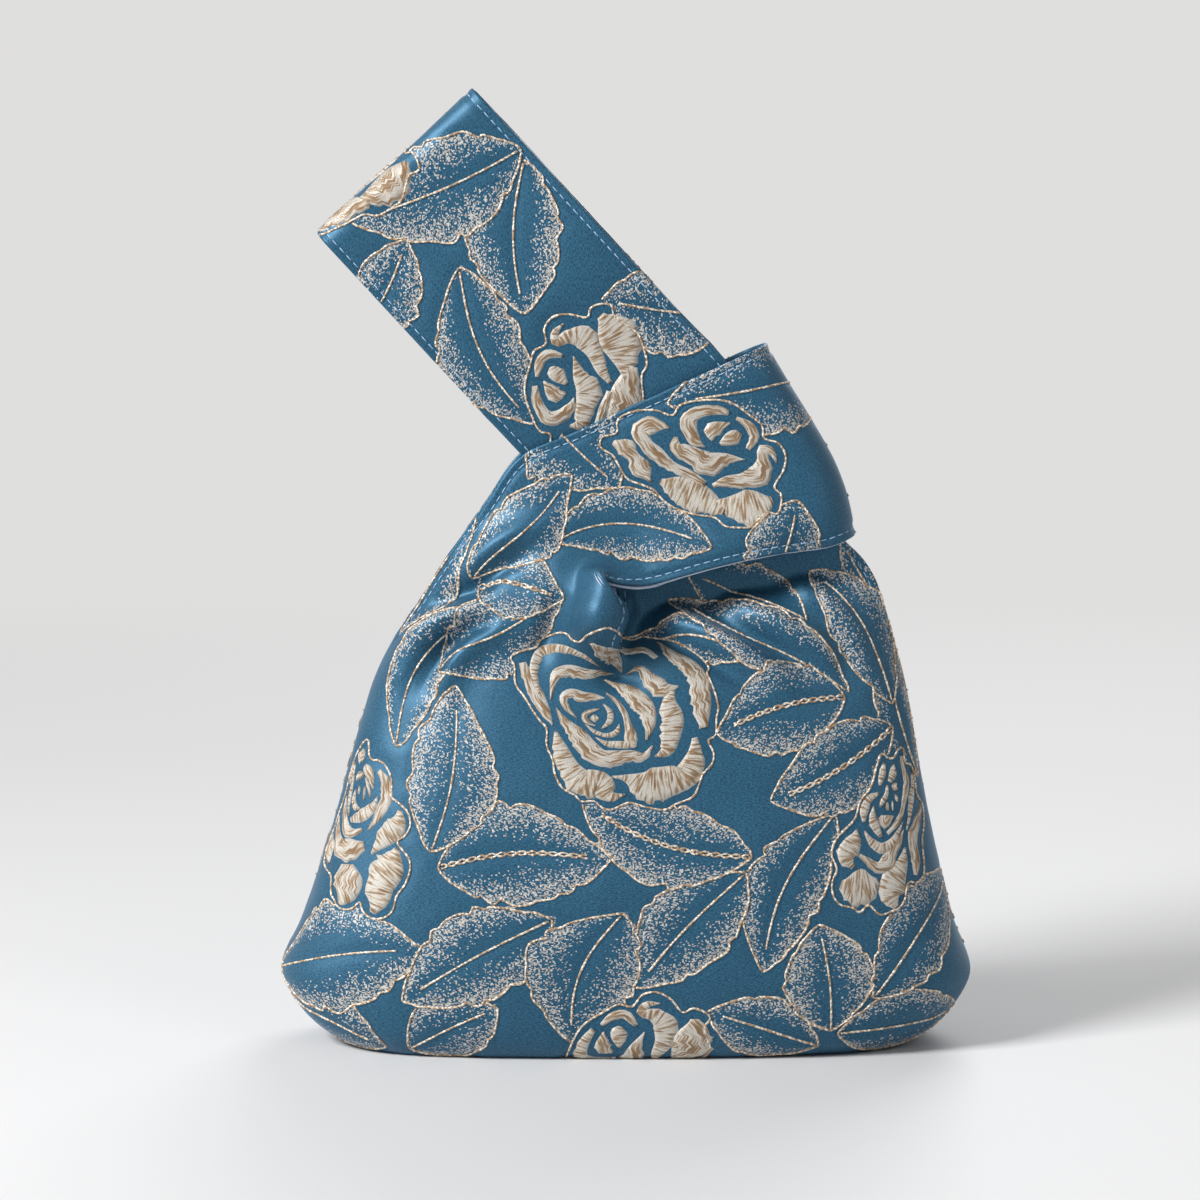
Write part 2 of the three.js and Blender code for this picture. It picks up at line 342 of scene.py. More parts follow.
# One sheet of points and four-sided faces from the body and the two straps, which share the neckline
def joinGrids(body, short, long):
    columns = cut["halfColumns"]
    points = [body.reshape(-1, 3)]
    bodyIndex = np.arange(len(points[0])).reshape(body.shape[:2])
    indexes = [bodyIndex]
    for strap, neckLine in ((short, bodyIndex[-1, : columns + 1]), (long, bodyIndex[-1, columns:])):
        start = sum(len(p) for p in points)
        points.append(strap[1:].reshape(-1, 3))
        index = start + np.arange(len(points[-1])).reshape(len(strap) - 1, columns + 1)
        indexes.append(np.vstack((neckLine, index)))
    faces = []
    for index in indexes:
        corners = (index[:-1, :-1], index[:-1, 1:], index[1:, 1:], index[1:, :-1])
        faces.append(np.stack(corners, axis=-1).reshape(-1, 4))
    return np.vstack(points), np.vstack(faces), indexes


def sheetNormals(points, faces):
    a, b, c, d = (points[faces[:, k]] for k in range(4))
    faceNormals = np.cross(c - a, d - b)
    normals = np.zeros_like(points)
    for k in range(4):
        np.add.at(normals, faces[:, k], faceNormals)
    return unitRows(normals)


def faceEdges(faces):
    return np.vstack([faces[:, [k, (k + 1) % 4]] for k in range(4)])


# Smooths the sheet where the weight says. Points on its rim follow only their neighbours on the rim.
def relax(points, faces, weight, rounds):
    count = len(points)
    edges = faceEdges(faces)
    rim = rimEdges(edges, count)
    onRim = np.zeros(count, bool)
    onRim[rim] = True
    pairs = np.vstack((edges[~onRim[edges[:, 0]]], rim, rim[:, ::-1]))
    share = np.bincount(pairs[:, 0], minlength=count)[:, None]
    for _ in range(rounds):
        total = [np.bincount(pairs[:, 0], points[pairs[:, 1], k], count) for k in range(3)]
        points = points + weight[:, None] * (np.stack(total, axis=1) / share - points)
    return points


def rimEdges(edges, count):
    keys = edges[:, 0].astype(np.int64) * count + edges[:, 1]
    mirrored = edges[:, 1].astype(np.int64) * count + edges[:, 0]
    return edges[~np.isin(mirrored, keys)]


# Topstitching. The last three give a dash's points: shares of its length, and of the radius.
stitch = {
    "inset": 0.0027,
    "pitch": 0.0034,
    "dash": 0.0024,
    "radius": 0.00023,
    "along": (0, 0.15, 0.5, 0.85, 1),
    "bow": (-0.2, 0.5, 0.6, 0.5, -0.2),
    "taper": (0.4, 0.9, 1, 0.9, 0.4),
}

# Soft folds of the cloth, each along a path of photograph pixels, with its half width and height in metres.
# Straight ones go to the front or back, the others along the cloth's normal.
folds = {
    "pixel": 0.00034,  # size of a photograph pixel at the bag
    "left": [  # on the body and the short strap
        {"path": ((494, 612), (436, 622), (391, 700)), "width": 0.0046, "height": 0.0055},
        {"path": ((505, 624), (452, 640), (424, 690)), "width": 0.0030, "height": -0.0055},
        {"path": ((525, 628), (470, 645), (440, 700)), "width": 0.0046, "height": 0.0050},
        {"path": ((492, 578), (462, 592), (420, 612)), "width": 0.0036, "height": -0.0060},
        {"path": ((565, 520), (505, 542), (455, 590)), "width": 0.0050, "height": 0.0036},
        {"path": ((540, 545), (500, 566), (478, 580)), "width": 0.0032, "height": -0.0036},
        {"path": ((572, 612), (602, 614), (632, 608)), "width": 0.0100, "height": 0.0125},
        {"path": ((566, 588), (550, 625), (538, 668)), "width": 0.0040, "height": -0.0045},
        {"path": ((640, 572), (730, 548), (850, 505)), "width": 0.0140, "height": 0.0050, "straight": True},
        {"path": ((590, 664), (616, 674), (650, 676)), "width": 0.0042, "height": -0.0060},
    ],
    "right": [  # on the body and the long strap
        {"path": ((660, 616), (720, 640), (800, 690)), "width": 0.0046, "height": 0.0055},
        {"path": ((645, 634), (700, 654), (770, 697)), "width": 0.0034, "height": -0.0042},
        {"path": ((690, 612), (745, 632), (820, 676)), "width": 0.0032, "height": -0.0038},
        {"path": ((720, 600), (775, 620), (850, 660)), "width": 0.0050, "height": 0.0046},
        {"path": ((770, 575), (820, 602), (862, 655)), "width": 0.0055, "height": 0.0040},
        {"path": ((800, 600), (838, 640), (850, 690)), "width": 0.0038, "height": -0.0034},
        {"path": ((630, 598), (716, 574), (862, 536)), "width": 0.0110, "height": -0.0190, "straight": True},
        {"path": ((634, 600), (646, 622), (640, 650)), "width": 0.0060, "height": -0.0075, "straight": True},
        {"path": ((636, 612), (626, 648), (612, 684)), "width": 0.0034, "height": -0.0050},
        {"path": ((905, 620), (918, 700), (930, 790)), "width": 0.0060, "height": 0.0020},
    ],
    "tuck": {  # the short strap's lower edge, drawn to the left over the roll of cloth under it
        "pixel": (626, 597),
        "shift": (-0.0078, -0.0045, 0.0052),
        "along": 0.010,
        "below": 0.0040,
        "across": 0.012,
    },
    "pathSteps": 32,
    "fadeMargin": 0.02,  # shares of a path at its ends that don't fade further
    "fadePower": 0.7,
    "facing": 2,  # how soon a fold ends where the cloth turns off to the side
    "wave": 0.0012,  # of the slack in the cloth
    "waveLength": 0.045,
    "ripple": 0.0003,
    "rippleLength": 0.013,
    "nearest": 0.0035,  # to the middle plane that a hollow goes
    "hem": 0.0005,  # depth of the groove that the topstitching makes
    "hemWidth": 0.0011,
}


def photoPixels(points):
    turn = np.array(camera.rotation_euler.to_matrix())
    local = (points - np.array(camera.location)) @ turn
    half = view["pixels"] / 2
    scale = view["frameWidth"] / 2 / view["distance"]
    x = local[:, 0] / -local[:, 2] / scale
    y = local[:, 1] / -local[:, 2] / scale
    return np.stack(((x + 1) * half, (1 - y) * half), axis=1)


def foldShift(pixels, fold):
    start, middle, end = (np.array(p, float) for p in fold["path"])
    t = np.linspace(0, 1, folds["pathSteps"] + 1)[:, None]
    pull = 2 * middle - (start + end) / 2
    path = (1 - t) ** 2 * start + 2 * t * (1 - t) * pull + t**2 * end
    margin = folds["fadeMargin"]
    away = np.linalg.norm(pixels[:, None] - path[None], axis=2)
    nearest = away.argmin(axis=1)
    away = away.min(axis=1) * folds["pixel"]
    fade = np.sin(math.pi * np.clip(t[nearest, 0], margin, 1 - margin)) ** folds["fadePower"]
    return fold["height"] * fade * np.exp(-((away / fold["width"]) ** 2))


# The lower corners drawn out by their seams, the short loop's end bowed and its lower edge lifted
def drawOut(points, indexes):
    x, z = points[:, 0], points[:, 2]
    outside = np.clip(np.abs(x) / cut["baseWidth"] * 2, 0, 1) ** cut["earPower"]
    ear = cut["earReach"] * outside * np.exp(-(((z - cut["cornerHeight"]) / cut["earHeight"]) ** 2))
    points = points + np.stack((np.sign(x) * ear, 0 * x, 0 * x), axis=1)
    short = indexes[1]
    across = np.linspace(0, 1, short.shape[1])[None]
    reach = np.linspace(0, 1, short.shape[0])[:, None] ** cut["endPower"]
    bow = np.sin(math.pi * across ** cut["endLean"])
    tilt = math.radians(cut["shortTilt"])
    points[short] += cut["endBow"] * (reach * bow)[..., None] * np.array((math.cos(tilt), 0, math.sin(tilt)))
    along = (photoPixels(points[short[:, -1]])[:, 0] - cut["liftFrom"]) / (cut["liftTo"] - cut["liftFrom"])
    lift = np.sin(math.pi * np.clip(along, 0, 1))[:, None] * across ** cut["liftPower"]
    points[short] += cut["edgeLift"] * lift[..., None] * np.array((-math.sin(tilt), 0, math.cos(tilt)))
    return points


def tuckEdge(points, indexes):
    tuck, short = folds["tuck"], indexes[1]
    rows = points[short]
    edge = rows[:, -1]
    corner = np.linalg.norm(photoPixels(edge) - np.array(tuck["pixel"]), axis=1).argmin()
    lengths = lengthsAlong(edge)
    past = lengths - lengths[corner]
    along = np.exp(-((past / np.where(past > 0, tuck["along"], tuck["below"])) ** 2))
    away = np.linalg.norm(rows - rows[:, -1:], axis=2)
    share = along[:, None] * np.exp(-((away / tuck["across"]) ** 2))
    points = points.copy()
    points[short[1:]] += share[1:, :, None] * np.array(tuck["shift"])
    return points, corner


# Smoothing of the sheet: at the neckline and the corners before the folds are made, and all over after them
smoothing = {
    "neckReach": 0.016,
    "cornerReach": 0.012,
    "cornerShare": 0.3,
    "strength": 0.5,
    "rounds": 60,
    "lastStrength": 0.3,
    "lastRounds": 4,
}


def makeSheet():
    points, faces, indexes = joinGrids(*frontGrids())
    z = points[:, 2]
    nearNeck = np.exp(-(((z - cut["neck"][2]) / smoothing["neckReach"]) ** 2))
    nearCorner = np.exp(-(((z - cut["cornerHeight"]) / smoothing["cornerReach"]) ** 2))
    weight = smoothing["strength"] * np.maximum(nearNeck, smoothing["cornerShare"] * nearCorner)
    points = relax(points, faces, weight, smoothing["rounds"])
    points = drawOut(points, indexes)
    body, short, long = (np.unique(index) for index in indexes)
    normals = sheetNormals(points, faces)
    pixels = photoPixels(points)
    facing = np.clip(-folds["facing"] * normals[:, 1], 0, 1)
    shift, inward = np.zeros(len(points)), np.zeros(len(points))
    for side, parts in (("left", (body, short)), ("right", (body, long))):
        on = np.zeros(len(points))
        on[np.concatenate(parts)] = 1
        for fold in folds[side]:
            if "straight" in fold:
                inward -= on * foldShift(pixels, fold)
            else:
                shift += on * facing * foldShift(pixels, fold)
    for k, point in enumerate(points):
        place = Vector(point)
        shift[k] += folds["wave"] * noise.noise(place / folds["waveLength"])
        shift[k] += folds["ripple"] * noise.noise(place / folds["rippleLength"])
    innermost = np.maximum(points[:, 1], -folds["nearest"])
    points = points + normals * shift[:, None]
    points[:, 1] += inward
    points, corner = tuckEdge(points, indexes)
    points = relax(points, faces, np.full(len(points), smoothing["lastStrength"]), smoothing["lastRounds"])
    points[:, 1] = np.minimum(points[:, 1], innermost)
    points = points - sheetNormals(points, faces) * hemGroove(points, indexes)[:, None]
    points[:, 2] = np.maximum(points[:, 2], 0)
    normals = sheetNormals(points, faces)
    seam = seamPoints(indexes)
    points[seam, 1] = -cut["seamLevel"]
    normals[seam, 1] = 0
    normals = unitRows(normals)
    return {"points": points, "faces": faces, "normals": normals, "indexes": indexes, "corner": corner}


# How far the lining stands out past the free edges of the straps, or stays back from them
lip = {
    "shortOuter": -0.0014,
    "shortInner": 0.0006,
    "longInner": -0.0003,
    "longOuter": -0.0014,
    "columns": 8,  # over which it fades
    "heldFrom": 8,  # rows past the tucked corner where the short strap's inner lip comes out
    "heldRows": 3,
    "heldBack": -4,  # times its reach, under the corner
}


def liningShift(sheet):
    points = sheet["points"]
    short, long = (index[1:] for index in sheet["indexes"][1:])
    shift = np.zeros_like(points)
    edges = {"shortOuter": short, "shortInner": short[:, ::-1], "longInner": long, "longOuter": long[:, ::-1]}
    for name, lines in edges.items():
        outward = unitRows(points[lines[:, 0]] - points[lines[:, 1]])
        if name == "shortInner":  # kept back under the tucked corner
            past = np.arange(len(lines)) - lip["heldFrom"] - sheet["corner"]
            outward *= np.clip(past / lip["heldRows"], lip["heldBack"], 1)[:, None]
        for k in range(lip["columns"]):
            shift[lines[:, k]] += lip[name] * (1 - k / lip["columns"]) * outward
    return shift


# How far the topstitching draws each point in
def hemGroove(points, indexes):
    depth = np.zeros(len(points))
    for index in indexes[1:]:
        rows = points[index]
        fromStart = lengthsAcross(rows)
        fromEnd = fromStart[:, -1:] - fromStart
        away = np.minimum(np.abs(fromStart - stitch["inset"]), np.abs(fromEnd - stitch["inset"]))
        depth[index] = folds["hem"] * np.exp(-((away / folds["hemWidth"]) ** 2))
    return depth


def seamPoints(indexes):
    body, short, long = indexes
    return np.concatenate((body[0], body[:, 0], body[:, -1], short[-1], long[-1]))


def addMesh(name, points, faces, material=None):
    mesh = bpy.data.meshes.new(name)
    mesh.from_pydata(np.asarray(points).tolist(), [], [list(f) for f in faces])
    mesh.update()
    mesh.shade_smooth()
    piece = bpy.data.objects.new(name, mesh)
    scene.collection.objects.link(piece)
    if material:
        mesh.materials.append(material)
    return piece


# Cloth coordinates: the sheet laid flat, in metres, upright as the front stands
def layFlat(sheet):
    piece = addMesh("flat_cloth", sheet["points"], sheet["faces"])
    bpy.context.view_layer.objects.active = piece
    bpy.ops.object.mode_set(mode="EDIT")
    bpy.ops.mesh.select_all(action="SELECT")
    bpy.ops.uv.unwrap(method="MINIMUM_STRETCH", iterations=10)
    bpy.ops.object.mode_set(mode="OBJECT")
    mesh = piece.data
    corners = np.zeros(len(mesh.loops), np.int32)
    mesh.loops.foreach_get("vertex_index", corners)
    places = np.zeros(len(mesh.loops) * 2, np.float32)
    mesh.uv_layers.active.data.foreach_get("uv", places)
    flat = np.zeros((len(sheet["points"]), 2))
    flat[corners] = places.reshape(-1, 2)
    bpy.data.objects.remove(piece)
    bpy.data.meshes.remove(mesh)

    a, b, c = (sheet["points"][sheet["triangles"][:, k]] for k in range(3))
    area = np.linalg.norm(np.cross(b - a, c - a), axis=1).sum() / 2
    a, b, c = (flat[sheet["triangles"][:, k]] for k in range(3))
    flatArea = np.cross(b - a, c - a).sum() / 2
    flat *= math.sqrt(area / abs(flatArea))
    if flatArea < 0:
        flat[:, 0] *= -1
    body = sheet["indexes"][0]
    foot, neck = flat[body[0, cut["halfColumns"]]], flat[body[-1, cut["halfColumns"]]]
    up = (neck - foot) / np.linalg.norm(neck - foot)
    right = np.array((up[1], -up[0]))
    flat = np.stack(((flat - foot) @ right, (flat - foot) @ up), axis=1)
    print("cloth laid flat,", round(area, 4), "square metres,", np.ptp(flat, axis=0).round(3))
    sheet["flat"], sheet["area"], sheet["cutSize"] = flat, area, np.ptp(flat, axis=0)


def makeTrees(sheet):
    faces = sheet["faces"]
    sheet["triangles"] = np.vstack((faces[:, [0, 1, 2]], faces[:, [0, 2, 3]]))
    layFlat(sheet)
    triangles = sheet["triangles"].tolist()
    sheet["flatPoints"] = np.column_stack((sheet["flat"], np.zeros(len(sheet["flat"]))))
    sheet["tree"] = BVHTree.FromPolygons(sheet["points"].tolist(), triangles)
    sheet["flatTree"] = BVHTree.FromPolygons(sheet["flatPoints"].tolist(), triangles)
    sheet["pixels"] = photoPixels(sheet["points"])


# The cloth coordinates of what the photograph shows at a pixel
def clothHit(sheet, pixel):
    place, direction = photoRay(camera, pixel)
    hit, _, index, _ = sheet["tree"].ray_cast(place, direction)
    if hit is None:  # the nearest point that faces the front
        away = np.linalg.norm(sheet["pixels"] - np.array(pixel), axis=1)
        away[sheet["normals"][:, 1] > 0] = np.inf
        return sheet["flat"][away.argmin()]
    corners = sheet["triangles"][index]
    weights = triangleWeights(sheet["points"][corners][None], np.array(hit)[None])
    return (weights[0][:, None] * sheet["flat"][corners]).sum(axis=0)


# How far the cloth coordinates go for a pixel to the right and a pixel down
def pixelAxes(sheet, pixel, step):
    x, y = pixel
    right = (clothHit(sheet, (x + step, y)) - clothHit(sheet, (x - step, y))) / (2 * step)
    down = (clothHit(sheet, (x, y + step)) - clothHit(sheet, (x, y - step))) / (2 * step)
    return right, down


# As clothHit, but a pixel off its layer of cloth is reckoned from one that is on it
def clothPoint(sheet, pixel, on=None, step=6):
    if on is None:
        return clothHit(sheet, pixel)
    right, down = pixelAxes(sheet, on, step)
    return clothHit(sheet, on) + right * (pixel[0] - on[0]) + down * (pixel[1] - on[1])


def triangleWeights(corners, spots):
    a, b, c = corners[:, 0], corners[:, 1], corners[:, 2]
    ab, ac, ap = b - a, c - a, spots - a
    d00, d01, d11 = (ab * ab).sum(1), (ab * ac).sum(1), (ac * ac).sum(1)
    d20, d21 = (ap * ab).sum(1), (ap * ac).sum(1)
    whole = np.maximum(d00 * d11 - d01 * d01, 1e-30)
    v = (d11 * d20 - d01 * d21) / whole
    w = (d00 * d21 - d01 * d20) / whole
    return np.stack((1 - v - w, v, w), axis=1)


# Points of the bag under cloth coordinates, their normals, and how far each lies off the cloth
def drape(sheet, spots):
    found = [sheet["flatTree"].find_nearest((u, v, 0)) for u, v in spots.tolist()]
    places = np.array([f[0][:2] for f in found])
    corners = sheet["triangles"][[f[2] for f in found]]
    off = np.array([f[3] for f in found])
    weights = triangleWeights(sheet["flat"][corners], places)[:, :, None]
    points = (weights * sheet["points"][corners]).sum(axis=1)
    normals = (weights * sheet["normals"][corners]).sum(axis=1)
    return points, unitRows(normals), off


sheet = makeSheet()
makeTrees(sheet)
print("sheet", len(sheet["points"]), "points")


# A closed layer of the cloth between two depths under the sheet
def thicken(sheet, near, far, shift=0):
    points, faces, normals = sheet["points"], sheet["faces"], sheet["normals"]
    count = len(points)
    points = points + shift
    both = np.vstack((points - normals * near, points - normals * far))
    rim = rimEdges(faceEdges(faces), count)
    walls = np.stack((rim[:, 1], rim[:, 0], rim[:, 0] + count, rim[:, 1] + count), axis=1)
    return both, np.vstack((faces, faces[:, ::-1] + count, walls))


# The woven pattern: leaves and roses where the photograph shows them, by its pixels, with sizes in metres.
# A leaf runs from its base to its tip, and its bend bows it to its left as a share of its length. A leaf
# covers those further down the list. A pixel that is off the motif's own layer is reckoned from the one
# that "on" gives.
frontLeaves = [
    {"base": (431, 852), "tip": (456, 686), "width": 0.0315, "bend": -0.06},
    {"base": (438, 868), "tip": (611, 859), "width": 0.0345, "bend": 0.06, "chain": True},
    {"base": (752, 857), "tip": (582, 801), "width": 0.0290, "bend": 0.09, "chain": True},
    {"base": (623, 914), "tip": (572, 1043), "width": 0.0350, "bend": -0.13},
    {"base": (746, 873), "tip": (636, 988), "width": 0.0290, "bend": -0.03},
    {"base": (552, 920), "tip": (402, 1001), "width": 0.0295, "bend": -0.02},
    {"base": (281, 967), "tip": (421, 950), "width": 0.0350, "bend": 0.04},
    {"base": (284, 1000), "tip": (386, 1047), "width": 0.0260, "bend": 0.00},
    {"base": (408, 1052), "tip": (497, 1010), "width": 0.0240, "bend": 0.03, "on": (440, 1030)},
    {"base": (893, 727), "tip": (771, 801), "width": 0.0275, "bend": 0.06, "chain": True},
    {"base": (845, 697), "tip": (717, 733), "width": 0.0310, "bend": -0.06, "chain": True},
    {"base": (835, 814), "tip": (763, 972), "width": 0.0270, "bend": -0.09},
    {"base": (831, 1031), "tip": (819, 925), "width": 0.0290, "bend": -0.04},
    {"base": (874, 998), "tip": (943, 870), "width": 0.0260, "bend": -0.06},
    {"base": (838, 1034), "tip": (968, 1017), "width": 0.0250, "bend": 0.00},
    {"base": (818, 1046), "tip": (708, 1012), "width": 0.0220, "bend": 0.00},
    {"base": (473, 579), "tip": (572, 475), "width": 0.0250, "bend": -0.03},
    {"base": (556, 542), "tip": (712, 547), "width": 0.0250, "bend": 0.13},
    {"base": (478, 588), "tip": (564, 599), "width": 0.0270, "bend": 0.10, "chain": True},
    {"base": (438, 671), "tip": (562, 596), "width": 0.0320, "bend": 0.00},
    {"base": (396, 746), "tip": (492, 614), "width": 0.0240, "bend": 0.18},
    {"base": (849, 692), "tip": (668, 600), "width": 0.0260, "bend": -0.02},
    {"base": (750, 657), "tip": (622, 638), "width": 0.0220, "bend": -0.10},
    {"base": (893, 703), "tip": (809, 571), "width": 0.0240, "bend": -0.11},
    {"base": (806, 612), "tip": (690, 574), "width": 0.0240, "bend": 0.02, "on": (750, 592), "bare": 2.6},
    {"base": (545, 405), "tip": (619, 487), "width": 0.0280, "bend": -0.05, "on": (592, 455)},
    {"base": (766, 612), "tip": (798, 500), "width": 0.0315, "bend": -0.03, "on": (785, 535)},
    {"base": (850, 358), "tip": (684, 398), "width": 0.0330, "bend": 0.05, "on": (770, 385)},
    {"base": (521, 149), "tip": (352, 223), "width": 0.0340, "bend": 0.03},
    {"base": (524, 160), "tip": (524, 314), "width": 0.0310, "bend": -0.07},
    {"base": (459, 268), "tip": (534, 424), "width": 0.0290, "bend": -0.10},
    {"base": (352, 345), "tip": (407, 240), "width": 0.0260, "bend": -0.05, "on": (400, 280)},
    {"base": (730, 310), "tip": (602, 299), "width": 0.0280, "bend": 0.05, "on": (640, 310)},
    {"base": (918, 776), "tip": (888, 616), "width": 0.0180, "bend": 0.05},
    {"base": (884, 612), "tip": (853, 542), "width": 0.0120, "bend": 0.05, "on": (876, 594)},
    {"base": (400, 632), "tip": (470, 517), "width": 0.0220, "bend": 0.00},
]
sideSize = (0.0544, 0.0394)  # of a rose that is seen from its side
frontRoses = [
    {"centre": (614, 720), "size": (0.0663, 0.0575), "folded": True, "form": "open"},
    {"centre": (698, 464), "size": sideSize, "tilt": 0, "form": "side"},
    {"centre": (592, 401), "size": sideSize, "tilt": 103, "form": "side"},
    {"centre": (358, 831), "size": (0.0310, 0.0545), "tilt": 0, "form": "bell"},
    {"centre": (878, 831), "size": (0.0314, 0.0567), "folded": True, "form": "bud"},
    {"centre": (628, 1076), "size": sideSize, "tilt": 62, "form": "side", "on": (628, 1020)},
    {"centre": (322, 177), "size": sideSize, "tilt": 35, "form": "side", "on": (360, 215)},
]
backRoses = [  # in cloth coordinates from the middle of the base seam
    {"centre": (-0.010, 0.150), "size": (0.066, 0.058), "tilt": 24, "form": "open", "turned": True},
    {"centre": (-0.108, 0.118), "size": (0.037, 0.054), "tilt": -10, "form": "bell", "turned": True},
    {"centre": (0.098, 0.100), "size": (0.037, 0.054), "tilt": 14, "form": "bell"},
    {"centre": (-0.040, 0.060), "size": sideSize, "tilt": 100, "form": "side", "turned": True},
    {"centre": (-0.040, 0.240), "size": sideSize, "tilt": -50, "form": "side"},
    {"centre": (0.060, 0.330), "size": sideSize, "tilt": 10, "form": "side", "turned": True},
]
leafStyle = {
    "widest": 0.8,  # share of the length
    "mostBend": 0.25,
    "formLean": 0.95,
    "formBlunt": 0.8,
    "toothPitch": 0.0085,
    "fewestTeeth": 3,
    "toothDepth": 0.17,  # share of the half width
    "toothLean": 1.5,
    "toothBlunt": 0.6,
    "toothMean": 0.65,
    "waves": (2.0, 3.5),  # range of the slow waves along a leaf that make its teeth uneven
    "waveShift": 0.25,
    "waveDepth": (0.7, 0.5),  # mean and change of the teeth's depth
    "bare": (0.75, 1.2),  # range of how much of a leaf's middle has no flecks
    "bareSlope": (0.5, 0.7),  # which is most at its base
    "ribFrom": 0.02,  # midrib, as shares of the length
    "ribTo": 0.87,
    "chainSway": 0.00065,
    "chainPitch": 0.0034,
    "chainDetail": 3,
    "cord": 0.00039,  # radius of the outline
    "uneven": 0.45,  # share by which the radius changes along it
    "lift": 0.00012,  # of its middle line above the cloth
    "step": 0.0011,
    "spare": 1.15,  # points of a line, more than its length needs
    "fewestPoints": 8,
    "crowding": 0.35,  # of the points at a leaf's ends
    "neighbours": 0.15,  # metres between leaves that may cover each other
    "covered": 0.02,  # depth in a leaf at which it covers a line
    "pucker": 0.0004,  # how deep an outline pulls the cloth in
    "puckerReach": 0.0018,
}
# Leaves that fill the cloth between the others. Margins are depths in a leaf, below 0 outside it.
fillStyle = {
    "lengths": (0.056, 0.046, 0.036, 0.026),
    "tries": 500,
    "width": 0.52,  # share of the length
    "bend": 0.1,
    "chains": 0.3,  # share of them
    "roseMargin": 0.08,  # share of a rose's size
    "leafMargin": -0.15,
    "ownMargin": -0.05,
    "nextMargin": -0.25,
    "leastOn": 0.45,  # share of a leaf that lies on the cloth, at least
    "leafShare": 0.6,  # of its box that a leaf takes up
    "overlap": 0.04,
    "plainSpot": (690, 580),  # pixel in the hollow under the short strap, where none is added
    "plainReach": 75,
    "sightLift": 0.0005,  # of the point that is looked for
    "sightShort": 0.0004,
}
onCloth = 0.0002  # metres from the cloth within which a motif's point still lies on it
